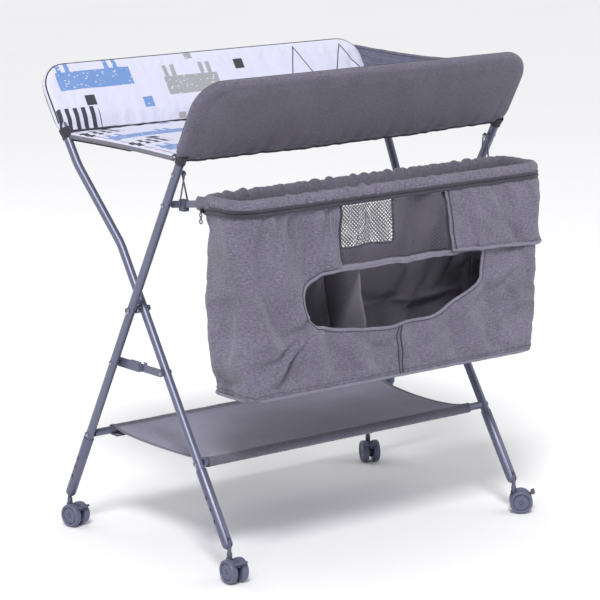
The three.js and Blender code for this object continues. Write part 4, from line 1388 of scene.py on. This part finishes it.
# How far the wall stands out from its plain shape: each term is one kind of fold.
free = smooth(fall, 0.0, 0.03) * smooth(z, BAG_LOW, BAG_LOW + 0.03)
calm = 1 - 0.6 * smooth(np.abs(s), 0.32, 0.37)
gathered = smooth(s, -0.40, -0.33) * (1 - smooth(s, -0.175, -0.150))
gathered = gathered * np.exp(-fall / 0.13) * smooth(fall, 0, 0.02)
grow = ripple(s + 0.15 * fall, 0.036, 81, 1) * 0.0150 * gathered  # gathers that fall from the zip
away = np.hypot(s + 0.215, z - 0.475)
angle = np.arctan2(z - 0.475, s + 0.215)
fan = np.exp(-np.square((angle + 2.2) / 0.65)) * smooth(away, 0.01, 0.05)
fan = fan * (1 - 0.4 * smooth(away, 0.1, 0.2))
grow = grow + ripple(angle, 0.42, 82, 1) * 0.0200 * fan * free  # a fan from the mouth's low left corner
grow = grow + ripple(s, 0.020, 83, 1) * 0.0060 * np.exp(-(z - BAG_LOW) / 0.022)  # puckers at the hem
grow = grow + ripple(s + 0.35 * z, 0.115, 84, 2) * 0.0100 * free * calm  # broad folds
slanted = free * calm * (1 - 0.85 * smooth(s, 0.24, 0.32))
grow = grow + ripple(0.5 * s - z, 0.09, 85, 2) * 0.0040 * slanted
belly = np.sin(np.pi * np.clip((z - BAG_LOW) / 0.26, 0, 1))
grow = grow + 0.0055 * belly
corners = np.exp(-np.square((np.abs(s) - 0.362) / 0.016)) * (1 - smooth(z, BAG_LOW + 0.02, 0.50))
grow = grow + 0.0085 * corners
crease = np.exp(-np.square((s + 0.425 - 0.12 * (z - BAG_LOW)) / 0.016)) * (1 - smooth(z, 0.40, 0.60))
grow = grow - 0.0075 * crease
sill = np.exp(-to_mouth / 0.03) * (1 - smooth(z, 0.48, 0.55))
grow = grow + 0.0030 * sill
for line in (SEAM_LEFT, SEAM_LOW):
    grow = grow - 0.0022 * np.exp(-near_line(flat, line) / 0.006)
grow = grow * smooth(s, first_s, first_s + 0.03) * (1 - smooth(s, last_s - 0.03, last_s))
bag_shape = bag_points(flat, grow)
bag = make_piece("bag_cloth_sim", bag_shape, wall_triangles, [])
hold = smooth(z, BAG_TOP - 0.012, BAG_TOP - 0.003)
hold = np.maximum(hold, 1 - smooth(z, BAG_LOW + 0.001, BAG_LOW + 0.010))
hold = np.maximum(hold, ((s < first_s + 0.001) | (s > last_s - 0.001)).astype(float))
hold = np.maximum(hold, 0.25 * (near_outline(flat, WINDOW) < 0.004))
settle(bag, hold, 22, 0.012, gravity=0.25, shrink=-0.05, bending=0.2)
bag_shape = points_of(bag)
bpy.data.objects.remove(bag)
bag_cloth = Draped(flat, wall_triangles, bag_shape)
middle = flat[wall_triangles].mean(1)
in_net = within(middle, WINDOW) | within(middle, BACK_WINDOW)
cloth_triangles = wall_triangles[~in_net]


def hang(piece, *nodes):
    """Bag cloth in place of its CAD nodes, with its place baked into its points."""
    name_slot(nodes)
    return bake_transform(piece)


used, index = np.unique(cloth_triangles, return_inverse=True)
faces = index.reshape(cloth_triangles.shape)
shell = make_piece("bag_wall", bag_shape[used], faces, [BAG_CLOTH, INNER_CLOTH], flat[used])
refine(shell)
thicken(shell, CLOTH)
shell.modifiers[-1].material_offset = 1
hang(shell, "storage_bag")

# ---- the base: a stiffened sheet sewn in round the bottom ----
around = np.linspace(-HALF_GIRTH, HALF_GIRTH, 181)[:-1]
rim_low = bag_points(np.stack([around, 0 * around + BAG_LOW + 0.001], 1), 0)
base_flat, base_triangles = cut_flat(rim_low[:, :2], 0.012)
inwards = near_outline(base_flat, rim_low[:, :2])
base_z = BAG_LOW + 0.001 - 0.0035 * smooth(inwards, 0, 0.04) + ripple(base_flat[:, 0], 0.08, 91) * 0.001
base_shape = np.column_stack([base_flat, base_z])
base = make_piece("bag_base", base_shape, base_triangles, [INNER_CLOTH], base_flat)
thicken(base, 0.002)
hang(base)

# ---- the divider inside ----
ys, zs = np.meshgrid(np.linspace(BAG_FRONT + 0.004, BAG_BACK - 0.004, 14), np.linspace(0.358, 0.588, 24))
xs = -0.096 + (0.585 - zs) * 0.15 + ripple(ys + zs, 0.08, 92) * 0.003
points = np.stack([xs, ys, zs], -1).reshape(-1, 3)
divider = make_piece("bag_divider", points, grid(*ys.shape), [INNER_CLOTH], points[:, 1:])
thicken(divider, CLOTH)
hang(divider)


# ---- net windows: two crossing sets of slanted strands ----
NET_PITCH, STRAND = 0.0072, 0.00070
STRAND_CORNERS = ((1, 0), (0, 1), (-1, 0), (0, -1))


def net(name, cloth, outline):
    low, high = outline.min(0), outline.max(0)
    height = high[1] - low[1]
    points, faces, count = [], [], 0
    for lean in (1, -1):
        for start in np.arange(low[0] - height, high[0] + height, NET_PITCH):
            rise = np.arange(0, height, 0.0045)
            line = np.stack([start + lean * rise, low[1] + rise], 1)
            line = line[within(line, outline)]
            if len(line) < 2:
                continue
            spots, normals = cloth.at(line, lean * 0.0002)
            side = unit(np.cross(np.gradient(spots, axis=0), normals))
            ring = np.stack([spots + STRAND * (w * side + h * normals) for w, h in STRAND_CORNERS], 1)
            points.append(ring.reshape(-1, 3))
            for a in range(count, count + 4 * (len(line) - 1), 4):
                for j in range(4):
                    m = (j + 1) % 4
                    faces.append((a + j, a + 4 + j, a + 4 + m, a + m))
            count += 4 * len(line)
    points = np.concatenate(points)
    return hang(make_piece(name, points, faces, [NET], points[:, [0, 2]]))


net_front = net("bag_net_front", bag_cloth, WINDOW)
net_back = net("bag_net_back", bag_cloth, BACK_WINDOW)

# ---- bindings, piping and stitches on the bag ----
def offset_line(line, distance):
    """A closed line moved outwards, whichever way round it runs."""
    ahead = unit(np.roll(line, -1, 0) - np.roll(line, 1, 0))
    side = np.stack([ahead[:, 1], -ahead[:, 0]], 1)
    if ((line - line.mean(0)) * side).sum() < 0:
        side = -side
    return line + distance * side


bag_trims = [
    tape(f"bag_{label}", bag_cloth, line, half, height, [material], out)
    for label, line, half, height, material, out in (
        ("mouth_binding", closed_line(offset_line(MOUTH, 0.0018)), 0.0042, 0.0014, BINDING, 0.0007),
        ("mouth_outline", closed_line(offset_line(MOUTH, 0.0064)), 0.0009, 0.0010, DARK_TAPE, 0.0006),
        ("window_hem", [(-0.143, 0.5860), (0.126, 0.5840)], 0.0036, 0.0012, BINDING, 0.0014),
        ("window_left", [(-0.1385, 0.590), (-0.1395, 0.699)], 0.0030, 0.0009, DARK_TAPE, 0.0006),
        ("window_right", [(0.1235, 0.589), (0.1100, 0.699)], 0.0030, 0.0009, DARK_TAPE, 0.0006),
        ("seam_left_a", SEAM_LEFT - (0.0042, 0), 0.0012, 0.0013, BINDING, 0.0006),
        ("seam_left_b", SEAM_LEFT + (0.0042, 0), 0.0012, 0.0013, BINDING, 0.0006),
        ("seam_low_a", SEAM_LOW - (0.0042, 0), 0.0012, 0.0013, DARK_TAPE, 0.0006),
        ("seam_low_b", SEAM_LOW + (0.0042, 0), 0.0012, 0.0013, DARK_TAPE, 0.0006),
        ("back_window_edge", closed_line(BACK_WINDOW), 0.004, 0.0010, DARK_TAPE, 0.0006),
    )
]
rounds = np.linspace(first_s + 0.002, last_s - 0.002, 360)
hem_line = np.stack([rounds, 0 * rounds + BAG_LOW + 0.011], 1)
bag_trims.append(seam("bag_low_stitch", bag_cloth, hem_line, [DARK_TAPE], 0.001))
edge_points = bag_points(np.stack([around, 0 * around + BAG_LOW + 0.0015], 1), 0.0016)
edge_points[:, 2] += ripple(around, 0.05, 93) * 0.0008
edge_normals = np.column_stack([girth_point(around)[1], 0 * around])
section = circle(0.0028, 12)
bag_trims.append(sweep("bag_low_piping", edge_points, section, [BINDING], normals=edge_normals, loop=True))
for trim in bag_trims:
    hang(trim)

# ---- the flap over the right pocket: a second layer that stands off the wall ----
FLAP = trimmed_corners([(0.112, 0.7), (0.121, 0.650), (0.124, 0.615), (0.129, 0.5825)], closed=False)
flap_low = [(0.20, 0.5785), (0.30, 0.5735), (0.345, 0.572), (0.405, 0.571)]
flap_outline = np.concatenate([FLAP, flap_low, [(0.408, 0.7)]])
flap_flat, flap_triangles = cut_flat(flap_outline, 0.007)
s, z = flap_flat.T
low_edge = 0.5785 - 0.006 * smooth(s, 0.2, 0.4)
lift = 0.0040 + 0.0050 * np.exp(-(z - low_edge) / 0.03)
lift += (1 + ripple(0.7 * s + z, 0.055, 101, 1)) * 0.0040 * smooth(0.7 - z, 0, 0.03)
lift += ripple(s, 0.040, 102, 1) * 0.0040 * np.exp(-(z - low_edge) / 0.06)
lift = 0.0008 + lift * (1 - smooth(s, 0.365, 0.402))
under, _ = bag_cloth.at(flap_flat)
flap_base = bag_points(flap_flat, 0)
outward = np.column_stack([girth_point(s)[1], 0 * s])
proud = np.maximum(((under - flap_base) * outward).sum(1), -0.001)
flap_shape = flap_base + (np.minimum(proud, 0.004) + lift)[:, None] * outward
flap = make_piece("bag_flap", flap_shape, flap_triangles, [BAG_CLOTH, INNER_CLOTH], flap_flat)
hold = smooth(z, 0.690, 0.698)
hold = np.maximum(hold, smooth(s, 0.37, 0.395))
settle(flap, hold, 14, 0.005, gravity=0.3, shrink=-0.02, bending=0.3)
flap_cloth = Draped(flap_flat, flap_triangles, points_of(flap))
refine(flap)
thicken(flap, CLOTH)
flap.modifiers[-1].material_offset = 1
hang(flap)
hem_row = trimmed_corners([(0.131, 0.5850), *[(a, b + 0.0028) for a, b in flap_low]], 1, False)
flap_trims = [
    tape("flap_edge_a", flap_cloth, FLAP + (0.0015, 0), 0.0013, 0.0014, [BINDING], 0.0005),
    tape("flap_edge_b", flap_cloth, FLAP + (0.0085, 0), 0.0012, 0.0012, [DARK_TAPE], 0.0005),
    tape("flap_hem", flap_cloth, hem_row, 0.0030, 0.0013, [BINDING], 0.0005),
    seam("flap_hem_stitch", flap_cloth, hem_row + (0, 0.0065), [DARK_TAPE]),
]
for trim in flap_trims:
    hang(trim)


# ---- the ruched band over the rim, and the closed zip below it ----
def band_puff(s):
    """How strongly the band is gathered at s: smooth towards the ends of the front, full at the back."""
    front = smooth(s, -0.30, -0.20) * (1 - smooth(s, 0.02, 0.14))
    back = smooth(np.abs(s), 0.47, 0.52)
    return 0.25 + 0.75 * np.maximum(front, back)


around = np.linspace(-HALF_GIRTH, HALF_GIRTH, 901)[:-1]
puff = band_puff(around)
crest = (ripple(around, 0.034, 111, 2) + 0.3) * 0.0052 * puff
fold = ripple(around, 0.017, 112, 2) * 0.0034 * puff
section = [
    (0.0030, 0.7110), (0.0046, 0.7140), (0.0054, 0.7190), (0.0046, 0.7245), (0.0018, 0.7280),
    (-0.0030, 0.7296), (-0.0085, 0.7296), (-0.0130, 0.7275), (-0.0156, 0.7225), (-0.0164, 0.7150),
    (-0.0162, 0.7060), (-0.0160, 0.7000),
]
rows = []
for k, (grow, z) in enumerate(section):
    free = math.sin(math.pi * min(k / 8, 1)) ** 0.6 if 0 < k < 8 else 0.35 * (k >= 8)
    wave = fold * (0.5 + free) * (1 if k < 5 else -0.7)
    spot, out = girth_point(around)
    height = z + crest * (1 if 2 <= k <= 8 else 0.2) - 0.0012 * puff
    rows.append(np.column_stack([spot + out * (grow + wave)[:, None], height]))
points = np.stack(rows, 1).reshape(-1, 3)
n, m = len(around), len(section)
faces = [(i * m + j, ((i + 1) % n) * m + j, ((i + 1) % n) * m + j + 1, i * m + j + 1)
         for i in range(n) for j in range(m - 1)]
drop = distances(section)
uvs = [(around[i] + GIRTH / n * ahead, drop[j + down])
       for i in range(n) for j in range(m - 1) for ahead, down in ((0, 0), (1, 0), (1, 1), (0, 1))]
layer = [0 if j < 5 else 1 for _ in range(n) for j in range(m - 1)]
band = make_piece("bag_band", points, faces, [BAG_CLOTH, WALL_CLOTH], uvs, layer)
refine(band)
thicken(band, CLOTH)
fit(band, "bag_rim", "bag_cloth", "bag_rim_band")
around = around[::2]
spot, out = girth_point(around)
corner_dip = 0.004 * np.exp(-np.square((around + 0.455) / 0.02))
normals = np.column_stack([out, 0 * around])
for label, grow, z, radius in (("upper", 0.0044, 0.7098, 0.0026), ("lower", 0.0044, 0.7025, 0.0032)):
    swell = ripple(around, 0.06, 121) * 0.0006
    height = z + ripple(around, 0.08, 122) * 0.0007 - corner_dip
    line = np.column_stack([spot + out * (grow + swell)[:, None], height])
    round_tape = circle(radius, 12) * (1, 1.15)
    roll = sweep(f"zip_tape_{label}", line, round_tape, [DARK_TAPE], normals=normals, loop=True)
    fit(roll, "bag_rim", "bag_cloth")
coil = np.column_stack([spot + out * 0.0052, 0 * around + 0.7062 - corner_dip])
teeth = stitches("zip_coil", coil, normals, [ZIP_METAL], 0.0013, 0.0012, 0.0009)
fit(teeth, "bag_rim", "zip_metal")
for side, sign in SIDES.items():
    ys = np.linspace(-0.232, -0.190, 9)
    line = np.stack([0 * ys + sign * 0.3725, ys, 0 * ys + 0.7135], 1)
    loop = [(0.0055 * math.cos(t), 0.0125 * math.sin(t)) for t in np.linspace(0, 2 * math.pi, 25)[:-1]]
    swell = 1 + 0.08 * np.sin(np.linspace(0, math.pi, 9))
    sections = swell[:, None, None] * np.array(loop)[None]
    tab = sweep(f"arm_sleeve_{side}", line, sections, [WALL_CLOTH], first=(1, 0, 0), caps=False)
    thicken(tab, 0.0012)
    fit(tab, "bag_rim", "bag_cloth")

GIRTH * 1.15


# ---- studio ----
REACH = 90  # so far that the floor's end stays out of every view
corners = [(-REACH, -REACH, 0), (REACH, -REACH, 0), (REACH, REACH, 0), (-REACH, REACH, 0)]
floor = make_piece("floor", corners, [(0, 1, 2, 3)], [])
ground = Paint("floor_paint")
tone = ground.noise(ground.place.outputs["Object"], 1.2, 2)
ground.colour(ground.mix(tone, linear(246, 246, 248), linear(249, 249, 250)))
floor.data.materials.append(ground.set(roughness=0.9))
floor.location.z = -0.0003
world = bpy.data.worlds.new("studio")
world.use_nodes = True
world.node_tree.nodes["Background"].inputs["Color"].default_value = (1, 1, 1.01, 1)
world.node_tree.nodes["Background"].inputs["Strength"].default_value = 0.45
bpy.context.scene.world = world
bpy.context.scene.view_settings.view_transform = "Standard"
data = bpy.data.lights.new("sky", "SUN")
data.energy, data.angle = 2.1, math.radians(14)
lights = [place_in_scene("sky", data)]
lights[0].rotation_euler = (math.radians(31), math.radians(-30), 0)
TARGET = Vector((0, 0, 0.5))
for name, place, power, size in (
    ("key", (-3.4, -2.2, 2.4), 30, 1.4),
    ("fill", (3.4, -2.4, 2.2), 30, 2.6),
    ("top", (0.2, 0.6, 4.0), 20, 3.0),
    ("rim", (-1.2, 3.6, 2.4), 20, 2.0),
):
    data = bpy.data.lights.new(name, "AREA")
    data.energy, data.size = power, size
    lamp = place_in_scene(name, data)
    lamp.location = place
    lamp.rotation_euler = (TARGET - Vector(place)).to_track_quat("-Z", "Y").to_euler()
    lights.append(lamp)

eye, looked_at = Vector((-3.0914, -4.0434, 1.503)), Vector((0.0226, 0.021, 0.445))
roll = math.radians(-0.65)
ahead = (looked_at - eye).normalized()
level = ahead.cross(Vector((0, 0, 1))).normalized()
above = level.cross(ahead)
right_axis = level * math.cos(roll) + above * math.sin(roll)
up_axis = above * math.cos(roll) - level * math.sin(roll)
data = bpy.data.cameras.new("camera")
data.lens, data.sensor_width = 155.6, 36
camera = place_in_scene("camera", data)
camera.matrix_world = Matrix.Translation(eye) @ Matrix((right_axis, up_axis, -ahead)).transposed().to_4x4()
bpy.context.scene.camera = camera
